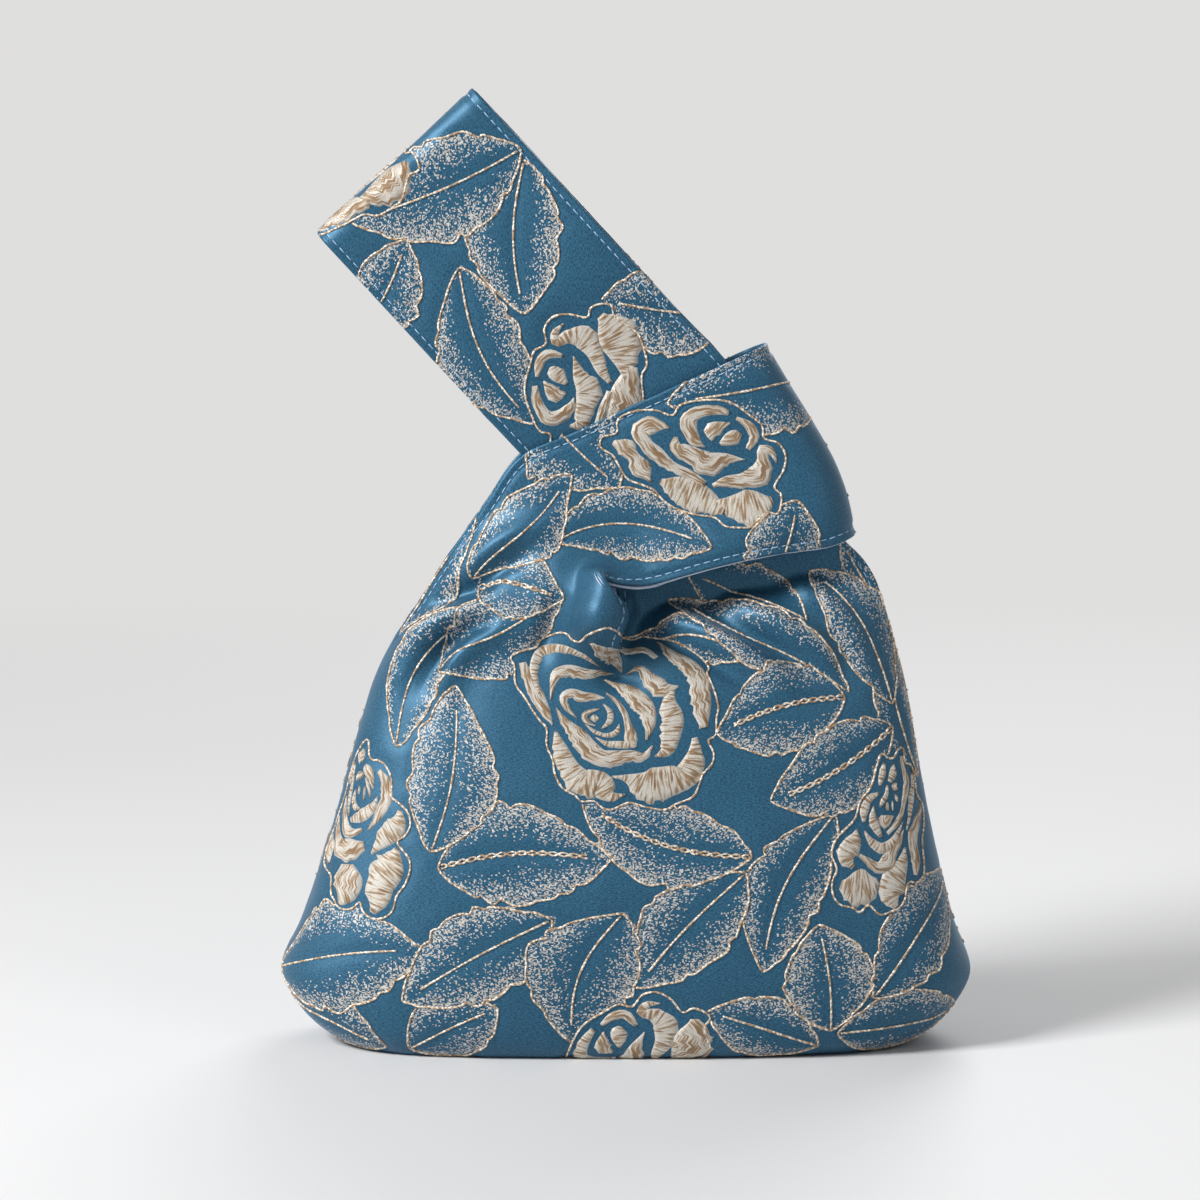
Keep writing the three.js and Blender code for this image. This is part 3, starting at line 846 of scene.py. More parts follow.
# Roses, each drawn as petals: strokes of x, y and width in drawing units, with y down, about a centre
roseForms = {
    "open": {"centre": (748, 650), "half": (637, 552), "petals": [
        [(590, 640, 20), (620, 640, 50), (650, 640, 20)],
        [(655, 578, 12), (600, 590, 30), (552, 622, 32), (572, 662, 30), (628, 688, 12)],
        [(678, 545, 12), (720, 595, 34), (722, 655, 38), (668, 708, 14)],
        [(560, 678, 10), (630, 730, 26), (700, 752, 28), (760, 735, 42), (783, 680, 16)],
        [(505, 635, 12), (440, 570, 42), (420, 500, 52), (470, 475, 64), (545, 500, 78), (620, 500, 60),
         (688, 508, 20)],
        [(698, 475, 12), (760, 525, 30), (812, 595, 34), (840, 680, 40), (862, 780, 90), (885, 830, 40)],
        [(628, 762, 10), (690, 800, 32), (770, 812, 48), (840, 815, 52), (895, 810, 40)],
        [(370, 570, 12), (425, 660, 65), (510, 750, 105), (580, 840, 115), (660, 900, 110),
         (760, 900, 100), (860, 885, 80), (935, 895, 70), (1000, 818, 18)],
        [(335, 515, 16), (348, 425, 42), (375, 350, 75), (455, 330, 90), (560, 350, 85), (660, 345, 50),
         (745, 350, 10)],
        [(685, 388, 20), (780, 430, 90), (880, 500, 125), (955, 580, 110), (980, 680, 80),
         (960, 780, 18)],
        [(830, 352, 10), (910, 315, 50), (980, 390, 100), (1060, 450, 130), (1170, 430, 20)],
        [(1130, 455, 50), (1105, 550, 110), (1130, 650, 125), (1115, 760, 115), (1090, 850, 95),
         (1015, 888, 14)],
        [(1030, 140, 14), (1130, 225, 100), (1235, 290, 110), (1300, 390, 115), (1315, 500, 125),
         (1325, 600, 115), (1335, 700, 85)],
        [(735, 1020, 20), (830, 1030, 60), (960, 1075, 200), (1090, 1060, 190), (1210, 1020, 160),
         (1275, 890, 120), (1275, 765, 50)],
        [(368, 725, 35), (395, 830, 95), (450, 960, 120), (540, 1060, 165), (650, 1070, 165),
         (725, 1150, 95), (820, 1135, 14)],
        [(150, 275, 75), (185, 370, 75), (240, 480, 85), (300, 600, 70), (345, 680, 22)],
        [(295, 550, 14), (240, 430, 50), (225, 310, 56), (280, 205, 66), (390, 185, 66), (480, 205, 50),
         (560, 240, 40), (648, 300, 12)],
        [(600, 150, 60), (680, 200, 150), (760, 250, 140), (800, 340, 24)],
        [(790, 140, 60), (850, 205, 100), (950, 195, 75), (1025, 245, 60)],
    ], "outline": [
        (518, 143), (474, 129), (440, 90), (396, 80), (338, 95), (265, 134), (242, 173), (143, 202),
        (73, 241), (99, 299), (106, 416), (167, 504), (221, 591), (270, 660), (307, 700), (309, 815),
        (348, 913), (362, 1000), (416, 1098), (494, 1142), (533, 1181), (621, 1180), (670, 1222),
        (728, 1235), (845, 1190), (943, 1215), (1089, 1235), (1157, 1196), (1264, 1151), (1303, 1078),
        (1328, 1005), (1391, 932), (1399, 864), (1365, 781), (1411, 752), (1418, 640), (1430, 572),
        (1415, 494), (1381, 397), (1357, 338), (1370, 309), (1333, 260), (1245, 192), (1138, 138),
        (1021, 114), (923, 108), (796, 100), (772, 75), (709, 51), (640, 70), (572, 100),
    ]},
    "side": {"centre": (702, 548), "half": (522, 378), "petals": [
        [(205, 365, 40), (265, 410, 110), (300, 470, 60), (335, 560, 110), (375, 650, 14)],
        [(540, 310, 14), (450, 290, 110), (370, 310, 100), (385, 400, 70), (440, 470, 80), (530, 560, 60),
         (630, 610, 60), (735, 680, 70)],
        [(900, 210, 50), (830, 195, 60), (740, 205, 60), (665, 240, 80), (655, 320, 80), (695, 400, 70),
         (752, 438, 12)],
        [(800, 395, 20), (800, 330, 90), (850, 300, 60), (912, 275, 14)],
        [(850, 415, 30), (905, 385, 70), (960, 355, 80), (985, 350, 30)],
        [(950, 240, 30), (1030, 285, 50), (1070, 350, 50), (1030, 440, 40)],
        [(575, 370, 30), (570, 440, 90), (660, 490, 100), (770, 545, 130), (880, 515, 80),
         (1010, 508, 10)],
        [(790, 690, 40), (880, 660, 70), (1000, 650, 90), (1110, 600, 120), (1135, 500, 70),
         (1120, 430, 50), (1180, 440, 50), (1222, 515, 12)],
        [(440, 650, 50), (510, 690, 140), (610, 740, 180), (730, 790, 150), (860, 860, 80)],
        [(800, 790, 40), (900, 820, 130), (1020, 830, 200), (1120, 800, 180), (1205, 760, 70)],
    ], "outline": [
        (150, 320), (233, 311), (243, 232), (316, 195), (449, 195), (557, 232), (595, 170), (714, 137),
        (897, 137), (1046, 225), (1116, 278), (1133, 361), (1229, 386), (1279, 461), (1270, 560),
        (1216, 676), (1262, 713), (1270, 776), (1246, 847), (1179, 842), (1113, 892), (1046, 950),
        (963, 958), (855, 950), (797, 900), (648, 875), (515, 834), (432, 776), (382, 701), (299, 652),
        (233, 610), (200, 494), (187, 444), (133, 378),
    ]},
    "bell": {"centre": (450, 820), "half": (330, 600), "petals": [
        [(430, 250, 40), (455, 265, 80), (480, 290, 30)],
        [(395, 310, 40), (375, 360, 55), (355, 455, 22)],
        [(490, 345, 60), (525, 390, 60), (553, 510, 12)],
        [(430, 450, 14), (445, 405, 40), (485, 405, 24)],
        [(425, 510, 14), (405, 590, 40), (425, 640, 40), (460, 650, 12)],
        [(455, 485, 12), (453, 515, 16), (450, 545, 12)],
        [(495, 490, 12), (492, 535, 16), (488, 585, 12)],
        [(500, 425, 16), (520, 500, 24), (535, 570, 12)],
        [(402, 400, 12), (378, 500, 30), (365, 620, 26), (372, 700, 12)],
        [(330, 545, 14), (330, 680, 42), (355, 800, 70), (410, 835, 50), (478, 808, 30)],
        [(582, 560, 14), (550, 640, 50), (480, 700, 70), (395, 735, 50)],
        [(590, 375, 50), (630, 460, 70), (635, 570, 75), (590, 690, 55), (518, 815, 14)],
        [(265, 690, 20), (275, 830, 60), (320, 950, 110), (410, 960, 120), (495, 930, 80)],
        [(190, 820, 60), (195, 930, 120), (215, 1060, 50)],
        [(715, 655, 40), (700, 760, 110), (620, 860, 100), (540, 985, 24)],
        [(380, 1070, 150), (380, 1180, 220), (370, 1280, 170), (340, 1370, 60)],
        [(690, 940, 60), (650, 1060, 180), (590, 1190, 170), (570, 1320, 150), (540, 1420, 60)],
    ], "outline": [
        (434, 186), (466, 152), (494, 147), (509, 195), (512, 243), (537, 293), (585, 298), (625, 329),
        (661, 405), (669, 491), (665, 560), (698, 591), (758, 663), (770, 759), (734, 845), (691, 888),
        (722, 950), (756, 1016), (756, 1102), (724, 1207), (677, 1293), (657, 1389), (625, 1437),
        (569, 1465), (517, 1451), (482, 1403), (466, 1346), (426, 1394), (378, 1410), (330, 1394),
        (298, 1341), (271, 1298), (255, 1160), (227, 1131), (159, 1064), (129, 988), (145, 864),
        (207, 759), (243, 663), (278, 587), (308, 491), (328, 386), (374, 281),
    ]},
    "bud": {"centre": (505, 832), "half": (345, 622), "petals": [
        [(552, 330, 30), (538, 400, 50), (518, 490, 30)],
        [(622, 335, 16), (615, 400, 60), (590, 465, 40)],
        [(640, 475, 30), (625, 502, 40), (648, 520, 24)],
        [(632, 560, 12), (642, 585, 22), (647, 612, 14)],
        [(574, 615, 10), (574, 650, 24), (578, 680, 16)],
        [(610, 608, 8), (612, 645, 14), (614, 680, 8)],
        [(572, 490, 20), (570, 550, 30), (546, 600, 36), (518, 652, 20)],
        [(508, 550, 30), (432, 600, 50), (402, 680, 62), (398, 765, 36)],
        [(470, 645, 10), (466, 720, 50), (482, 790, 60), (528, 872, 36)],
        [(522, 722, 40), (552, 760, 80), (618, 725, 24)],
        [(678, 272, 36), (697, 370, 38), (716, 450, 48), (712, 540, 46), (696, 620, 36), (680, 700, 34),
         (640, 780, 44), (575, 852, 36)],
        [(756, 400, 36), (766, 480, 44), (756, 560, 56), (746, 650, 48), (736, 740, 30), (716, 822, 12)],
        [(405, 832, 16), (450, 908, 50), (530, 962, 60), (608, 925, 60), (652, 850, 40), (686, 768, 14)],
        [(365, 1010, 30), (430, 1060, 52), (500, 1105, 62), (575, 1070, 105), (615, 990, 76),
         (662, 915, 56), (692, 825, 14)],
        [(345, 822, 14), (326, 900, 110), (282, 985, 140), (275, 1045, 105), (318, 1105, 44)],
        [(826, 628, 18), (802, 740, 66), (770, 850, 84), (768, 950, 76), (790, 1060, 86),
         (786, 1160, 54)],
        [(706, 955, 26), (690, 1050, 86), (664, 1130, 120), (622, 1220, 190), (602, 1310, 180),
         (645, 1400, 54)],
        [(226, 1235, 80), (300, 1255, 180), (380, 1258, 210), (450, 1238, 190), (504, 1200, 54)],
    ], "outline": [
        (535, 255), (500, 340), (455, 500), (370, 620), (335, 740), (235, 845), (180, 920), (160, 1010),
        (200, 1120), (165, 1210), (175, 1320), (230, 1385), (320, 1405), (370, 1440), (435, 1385),
        (520, 1455), (600, 1435), (665, 1405), (705, 1350), (735, 1215), (800, 1215), (850, 1150),
        (838, 900), (850, 780), (842, 640), (802, 565), (780, 430), (750, 335), (712, 325), (692, 210),
        (655, 225), (625, 285), (585, 288),
    ]},
}
roseStyle = {
    "height": 0.00045,
    "sink": 0.0003,  # of a petal's closed underside
    "crown": (0.0, 0.85, 1.0, 0.9, 0.0),  # shares of the height, across a petal
    "rim": (1.0, 0.5, 0.0, 0.5, 1.0),  # nearness to its edges
    "across": (-1, -0.55, 0, 0.6, 1),  # shares of the half width. Those below 0 are ragged.
    "rag": 0.3,
    "ragMean": 0.6,
    "fullness": 1.28,
    "stretch": (0.85, 1.4),  # least and most that folds stretch a rose
    "lengthwise": 0.6,  # share of petals whose threads run along them
    "endMargin": 0.04,  # of a petal's length, where it is blunt
    "endPower": 0.25,
    "step": 0.0012,
    "fineSteps": 60,
    "fewestPoints": 8,
    "lineSteps": 8,  # between two corners of the outline
}


def makeLeaf(base, tip, width, bend, chance, chain):
    length = np.linalg.norm(tip - base)
    along = (tip - base) / length
    return {
        "base": base,
        "along": along,
        "left": np.array((-along[1], along[0])),
        "length": length,
        "width": min(width, leafStyle["widest"] * length),
        "bend": bend,
        "teeth": max(leafStyle["fewestTeeth"], round(length / leafStyle["toothPitch"])),
        "phases": {1: chance.random(), -1: chance.random()},
        "waves": chance.uniform(*leafStyle["waves"]),
        "bare": chance.uniform(*leafStyle["bare"]),
        "chain": chain,
    }


def leafHalfWidth(leaf, t, side):
    style = leafStyle
    t = np.clip(t, 0, 1)
    wave = np.sin(2 * math.pi * (leaf["waves"] * t + leaf["phases"][-side]))
    place = (leaf["teeth"] * t + leaf["phases"][side] + style["waveShift"] * wave) % 1
    tooth = np.sin(math.pi * place ** style["toothLean"]) ** style["toothBlunt"]
    form = np.sin(math.pi * t ** style["formLean"]) ** style["formBlunt"]
    mean, change = style["waveDepth"]
    depth = style["toothDepth"] * (mean + change * wave)
    return leaf["width"] / 2 * form * (1 + depth * (tooth - style["toothMean"]))


def leafBow(leaf, t):
    return leaf["bend"] * leaf["length"] * np.sin(math.pi * np.clip(t, 0, 1))


def leafPoint(leaf, t, across):
    aside = leafBow(leaf, t) + across
    return leaf["base"] + np.outer(leaf["length"] * t, leaf["along"]) + np.outer(aside, leaf["left"])


# How deep points lie in a leaf, 0 at its outline, 1 at its midrib and below 0 outside, and how far along it
def leafDepth(leaf, flat):
    rel = flat - leaf["base"]
    t = rel @ leaf["along"] / leaf["length"]
    across = rel @ leaf["left"] - leafBow(leaf, t)
    half = np.where(across > 0, leafHalfWidth(leaf, t, 1), leafHalfWidth(leaf, t, -1))
    depth = 1 - np.abs(across) / np.maximum(half, 1e-5)
    return np.where((t > 0) & (t < 1), np.maximum(depth, -1), -1), np.clip(t, 0, 1)


def leafLines(leaf):
    count = max(leafStyle["fewestPoints"], round(leaf["length"] * leafStyle["spare"] / leafStyle["step"]))
    crowded = (1 - np.cos(np.linspace(0, math.pi, count))) / 2
    crowding = leafStyle["crowding"]
    t = crowded * crowding + np.linspace(0, 1, count) * (1 - crowding)
    lines = [leafPoint(leaf, t, side * leafHalfWidth(leaf, t, side)) for side in (1, -1)]
    ribCount = leafStyle["chainDetail"] * count if leaf["chain"] else count
    rib = np.linspace(leafStyle["ribFrom"], leafStyle["ribTo"], ribCount)
    sway = np.zeros_like(rib)
    if leaf["chain"]:
        sway = leafStyle["chainSway"] * np.sin(math.pi * rib * leaf["length"] / leafStyle["chainPitch"])
        lines.append(leafPoint(leaf, rib, -sway))
    return lines + [leafPoint(leaf, rib, sway)]


# A rose laid on the cloth: petals as strokes of x, y and width, and the line round them. The function "place"
# turns points in shares of half the rose's size into cloth coordinates.
def layRose(rose, place):
    drawing = roseForms[rose["form"]]
    centre, half = np.array(drawing["centre"]), np.array(drawing["half"])
    flip = np.array((-1 if "turned" in rose else 1, -1))
    unit = roseStyle["fullness"] * sum(rose["size"]) / 4 / half.mean()  # metres of a drawing unit
    petals = []
    for stroke in drawing["petals"]:
        spots = np.array(stroke, float)
        petals.append(np.column_stack((place((spots[:, :2] - centre) / half * flip), spots[:, 2] * unit)))
    return dict(rose, petals=petals, outline=place((np.array(drawing["outline"]) - centre) / half * flip))


# Placing by a rose's own centre, size and tilt on the cloth
def flatPlace(rose):
    tilt = math.radians(rose["tilt"])
    turn = np.array(((math.cos(tilt), math.sin(tilt)), (-math.sin(tilt), math.cos(tilt))))
    return lambda local: (local * np.array(rose["size"]) / 2) @ turn + rose["centre"]


def roseLine(rose):
    corners = list(rose["outline"])
    ring = corners[-1:] + corners + corners[:2]
    places = np.linspace(1, len(corners) + 1, roseStyle["lineSteps"] * len(corners))
    fine = np.array([curvePoint(ring, at) for at in places])
    length = np.linalg.norm(np.diff(fine, axis=0), axis=1).sum()
    return evenLine(fine, round(length * leafStyle["spare"] / leafStyle["step"]))


def insideRose(rose, flat, margin=0):
    middle = rose["outline"].mean(axis=0)
    start = middle + (rose["outline"] - middle) * (1 + margin)
    end = np.roll(start, -1, axis=0)
    x, y = flat[:, :1], flat[:, 1:]
    passes = (start[:, 1] > y) != (end[:, 1] > y)
    slope = (end[:, 0] - start[:, 0]) / (end[:, 1] - start[:, 1] + 1e-15)
    return (passes & (x < start[:, 0] + (y - start[:, 1]) * slope)).sum(axis=1) % 2 == 1


# A petal as a grid of cloth coordinates, along it and across it, with one ragged edge
def petalGrid(stroke, chance):
    style = roseStyle
    fine = np.array([curvePoint(stroke, at) for at in np.linspace(0, len(stroke) - 1, style["fineSteps"])])
    lengths = lengthsAlong(fine[:, :2])
    count = max(style["fewestPoints"], round(lengths[-1] / style["step"]))
    at = np.linspace(0, lengths[-1], count)
    line = np.stack([np.interp(at, lengths, fine[:, k]) for k in range(2)], axis=1)
    margin = style["endMargin"]
    blunt = np.sin(math.pi * np.clip(np.linspace(0, 1, count), margin, 1 - margin)) ** style["endPower"]
    half = np.interp(at, lengths, fine[:, 2]) / 2 * blunt
    ahead = np.gradient(line, axis=0)
    beside = unitRows(np.stack((-ahead[:, 1], ahead[:, 0]), axis=1))
    rag = 1 + style["rag"] * (np.array([chance.random() for _ in at]) - style["ragMean"])
    widths = [half * share * (rag if share < 0 else 1) for share in style["across"]]
    return np.stack([line + beside * width[:, None] for width in widths], axis=1)


# Adds leaves between the others, and gives each point's depth in the leaf that shows there
def placeMotifs(sheet, leaves, roses, taken, chance):
    style, flat = fillStyle, sheet["flat"]
    for rose in roses:
        taken |= insideRose(rose, flat, style["roseMargin"])
    for leaf in leaves:
        taken |= leafDepth(leaf, flat)[0] > style["leafMargin"]
    perPoint = sheet["area"] / len(flat)
    low, high = flat.min(axis=0), flat.max(axis=0)
    for length in style["lengths"]:
        for _ in range(style["tries"]):
            base = np.array([chance.uniform(a, b) for a, b in zip(low, high)])
            angle = chance.uniform(0, 2 * math.pi)
            tip = base + length * np.array((math.cos(angle), math.sin(angle)))
            bend = chance.uniform(-style["bend"], style["bend"])
            chain = chance.random() < style["chains"]
            leaf = makeLeaf(base, tip, style["width"] * length, bend, chance, chain)
            inside = leafDepth(leaf, flat)[0]
            covered = inside > style["ownMargin"]
            least = style["leastOn"] * style["leafShare"] * leaf["width"] * length
            enough = covered.sum() * perPoint > least
            if enough and (covered & taken).sum() < style["overlap"] * covered.sum():
                leaves.append(leaf)
                taken |= inside > style["nextMargin"]
    depth = np.full(len(flat), -1.0)
    covered = np.zeros(len(flat), bool)
    for rose in roses:
        covered |= insideRose(rose, flat)
    start, slope = leafStyle["bareSlope"]
    for leaf in leaves:
        inside, along = leafDepth(leaf, flat)
        flecked = inside * leaf["bare"] / (start + slope * along)
        shown = np.where(inside > 0, flecked, np.maximum(inside, depth))
        depth = np.where(covered, depth, shown)
        covered |= inside > 0
    return np.clip(depth, -1, 1)


# The lines of the pattern that show, in cloth coordinates: each leaf is cut by the roses and leaves above it
def shownLines(leaves, roses):
    shown = []
    near = leafStyle["neighbours"]
    for rank, leaf in enumerate(leaves):
        above = [other for other in leaves[:rank] if np.linalg.norm(other["base"] - leaf["base"]) < near]
        for line in leafLines(leaf):
            hidden = np.zeros(len(line), bool)
            for rose in roses:
                hidden |= insideRose(rose, line)
            for other in above:
                hidden |= leafDepth(other, line)[0] > leafStyle["covered"]
            shown += splitRuns(line, ~hidden)
    return shown + [roseLine(rose) for rose in roses]


# Starts and ends of the runs that are kept, apart from those with too few points
def keptRuns(keep, least):
    edges = np.flatnonzero(np.diff(np.concatenate(([0], keep.astype(int), [0]))))
    return [(start, end) for start, end in zip(edges[::2], edges[1::2]) if end - start >= least]


def splitRuns(line, keep):
    return [line[start:end] for start, end in keptRuns(keep, least=4)]


# The sheet drawn in along the lines, as a tight thread does
def pucker(sheet, lines):
    spots = np.vstack(lines)
    tree = KDTree(len(spots))
    for k, (u, v) in enumerate(spots.tolist()):
        tree.insert((u, v, 0), k)
    tree.balance()
    away = np.array([tree.find((u, v, 0))[2] for u, v in sheet["flat"].tolist()])
    pull = leafStyle["pucker"] * np.exp(-((away / leafStyle["puckerReach"]) ** 2))
    seam = seamPoints(sheet["indexes"])
    pull[seam] = 0
    points = sheet["points"] - sheet["normals"] * pull[:, None]
    normals = sheetNormals(points, sheet["faces"])
    normals[seam] = sheet["normals"][seam]
    return dict(sheet, points=points, normals=normals)


# Points of the front that the photograph shows, and those in the plain hollow, where no further leaf is added
def seenPoints(sheet):
    style = fillStyle
    away = np.linalg.norm(sheet["pixels"] - np.array(style["plainSpot"]), axis=1)
    seen = away < style["plainReach"]
    for k, point in enumerate(sheet["points"] + style["sightLift"] * sheet["normals"]):
        ray = Vector(point) - camera.location
        hit = sheet["tree"].ray_cast(camera.location, ray.normalized(), ray.length - style["sightShort"])
        seen[k] |= hit[0] is None
    return seen


class Meshes:  # gathers the parts of one piece
    def __init__(self):
        self.points, self.faces, self.thread, self.count = [], [], [], 0

    def add(self, points, faces, thread):
        self.points.append(points)
        self.faces += [tuple(k + self.count for k in face) for face in faces]
        self.thread.append(thread)
        self.count += len(points)


# A round cord along points on the cloth, closed at both ends
def addCord(meshes, points, normals, radius, sides=5):
    count = len(points)
    ahead = unitRows(np.gradient(points, axis=0))
    beside = unitRows(np.cross(ahead, normals))
    lengths = lengthsAlong(points)
    radius = np.broadcast_to(radius, count)[:, None]
    rings, thread = [], []
    for k in range(sides):
        angle = 2 * math.pi * k / sides
        rings.append(points + radius * (math.cos(angle) * beside + math.sin(angle) * normals))
        thread.append(np.column_stack((lengths, np.full(count, k / sides), np.zeros(count))))
    faces = []
    for i in range(count - 1):
        for k in range(sides):
            n = (k + 1) % sides
            faces.append((k * count + i, k * count + i + 1, n * count + i + 1, n * count + i))
    faces.append(tuple(k * count for k in range(sides)))
    faces.append(tuple(k * count + count - 1 for k in reversed(range(sides))))
    meshes.add(np.vstack(rings), faces, np.vstack(thread))


def addLine(meshes, sheet, line):
    points, normals, off = drape(sheet, line)
    raised = np.hstack((points + leafStyle["lift"] * normals, normals))
    for run in splitRuns(raised, off < onCloth):
        knots = np.array([noise.noise(Vector(point) / leafStyle["step"]) for point in run[:, :3]])
        addCord(meshes, run[:, :3], run[:, 3:], leafStyle["cord"] * (1 + leafStyle["uneven"] * knots))


# A raised petal: its top, and a strip that closes it below
def addPetal(meshes, sheet, grid, lengthwise):
    count, across = grid.shape[:2]
    points, normals, off = drape(sheet, grid.reshape(-1, 2))
    inside = (off < onCloth).reshape(count, across).any(axis=1)
    crown = np.array(roseStyle["crown"]) * roseStyle["height"]
    lifted = (points + normals * np.tile(crown, count)[:, None]).reshape(count, across, 3)
    sunk = (points - normals * roseStyle["sink"]).reshape(count, across, 3)
    steps = np.linalg.norm(np.diff(grid, axis=0, prepend=grid[:1]).mean(axis=1), axis=1)
    along = np.repeat(np.cumsum(steps), across).reshape(count, across)
    width = np.linalg.norm(grid - grid[:, :1], axis=2)
    ribs = (along, width) if lengthwise else (width, along)
    rim = np.tile(roseStyle["rim"], (count, 1))
    thread = np.stack((*ribs, rim), axis=2)
    for start, end in keptRuns(inside, least=3):
        size = end - start
        top = lifted[start:end].reshape(-1, 3)
        low = sunk[start:end][:, [0, -1]].reshape(-1, 3)
        faces = []
        base = size * across
        for i in range(size - 1):
            for k in range(across - 1):
                a = i * across + k
                faces.append((a, a + 1, a + across + 1, a + across))
            left, right = i * across, i * across + across - 1
            b = base + 2 * i
            faces.append((b, left, left + across, b + 2))
            faces.append((right, b + 1, b + 3, right + across))
            faces.append((b + 1, b, b + 2, b + 3))
        faces.append(tuple(range(across - 1, -1, -1)) + (base, base + 1))
        last = (size - 1) * across
        faces.append(tuple(range(last, last + across)) + (base + 2 * size - 1, base + 2 * size - 2))
        rows = thread[start:end]
        threads = np.vstack((rows.reshape(-1, 3), rows[:, [0, -1]].reshape(-1, 3)))
        meshes.add(np.vstack((top, low)), faces, threads)


# Topstitching along the free edges of both straps
def stitchLines(sheet):
    lines = []
    for index in sheet["indexes"][1:]:
        for columns in (index, index[:, ::-1]):
            spots = []
            for lengths, column in zip(lengthsAcross(sheet["points"][columns]), columns):
                place = np.interp(stitch["inset"], lengths, np.arange(len(column)))
                first = min(int(place), len(column) - 2)
                spots.append((column[first], column[first + 1], place - first))
            lines.append(spots)
    return lines


def addStitches(meshes, sheet):
    for spots in stitchLines(sheet):
        first, second, share = (np.array(x) for x in zip(*spots))
        share = share[:, None]
        points = sheet["points"][first] * (1 - share) + sheet["points"][second] * share
        normals = sheet["normals"][first] * (1 - share) + sheet["normals"][second] * share
        lengths = lengthsAlong(points)
        for start in np.arange(stitch["pitch"], lengths[-1] - stitch["pitch"], stitch["pitch"]):
            at = start + stitch["dash"] * np.array(stitch["along"])
            dash = np.stack([np.interp(at, lengths, points[:, k]) for k in range(3)], axis=1)
            up = unitRows(np.stack([np.interp(at, lengths, normals[:, k]) for k in range(3)], axis=1))
            bow = np.array(stitch["bow"]) * stitch["radius"]
            addCord(meshes, dash + up * bow[:, None], up, stitch["radius"] * np.array(stitch["taper"]))


# Shader sums: an expression on these adds its nodes
class Shade:
    def __init__(self, tree, socket=None):
        self.tree, self.socket = tree, socket

    def node(self, kind, settings=None, inputs=None, output=0):
        node = self.tree.nodes.new(kind)
        for name, value in (settings or {}).items():
            setattr(node, name, value)
        for name, value in (inputs or {}).items():
            if isinstance(value, Shade):
                self.tree.links.new(value.socket, node.inputs[name])
            else:
                node.inputs[name].default_value = value
        return Shade(self.tree, node.outputs[output])

    def math(self, operation, a, b=0.0, clamp=False):
        return self.node("ShaderNodeMath", {"operation": operation, "use_clamp": clamp}, {0: a, 1: b})

    def __add__(self, other):
        return self.math("ADD", self, other)

    def __radd__(self, other):
        return self.math("ADD", other, self)

    def __sub__(self, other):
        return self.math("SUBTRACT", self, other)

    def __rsub__(self, other):
        return self.math("SUBTRACT", other, self)

    def __mul__(self, other):
        return self.math("MULTIPLY", self, other)

    def __truediv__(self, other):
        return self.math("DIVIDE", self, other)

    def __pow__(self, other):
        return self.math("POWER", self, other)

    def __lt__(self, other):
        return self.math("LESS_THAN", self, other)

    def __gt__(self, other):
        return self.math("GREATER_THAN", self, other)

    def clamped(self):
        return self.math("ADD", self, 0.0, True)

    def mixed(self, factor, first, second):
        settings = {"data_type": "RGBA", "clamp_factor": True}
        return self.node("ShaderNodeMix", settings, {0: factor, 6: first, 7: second}, 2)

    def vector(self, operation, a, b):
        return self.node("ShaderNodeVectorMath", {"operation": operation}, {0: a, 1: b})

    def noise(self, vector, scale, detail, output=0):
        inputs = {"Vector": vector, "Scale": scale, "Detail": detail}
        return self.node("ShaderNodeTexNoise", None, inputs, output)

    def lots(self, cells):  # a chance for each cell
        return self.node("ShaderNodeTexWhiteNoise", {"noise_dimensions": "2D"}, {"Vector": cells})

    def attribute(self, name, output="Vector"):
        return self.node("ShaderNodeAttribute", {"attribute_name": name}, output=output)

    def above(self, level):  # rises from 0 at the level's first value, by its second
        return (self - level[0]) * level[1]

    def sibling(self, output):  # another output of the same node
        return Shade(self.tree, self.socket.node.outputs[output])


def newMaterial(name, constants):
    material = bpy.data.materials.new(name)
    material.use_nodes = True
    shader = material.node_tree.nodes["Principled BSDF"]
    for socket, value in constants.items():
        shader.inputs[socket].default_value = value
    return material, Shade(material.node_tree), shader


def finishMaterial(shade, shader, colour, roughness, height, strength, distance):
    values = {"Height": height, "Strength": strength, "Distance": distance}
    bump = shade.node("ShaderNodeBump", None, values)
    for socket, value in (("Base Color", colour), ("Roughness", roughness), ("Normal", bump)):
        shade.tree.links.new(value.socket, shader.inputs[socket])


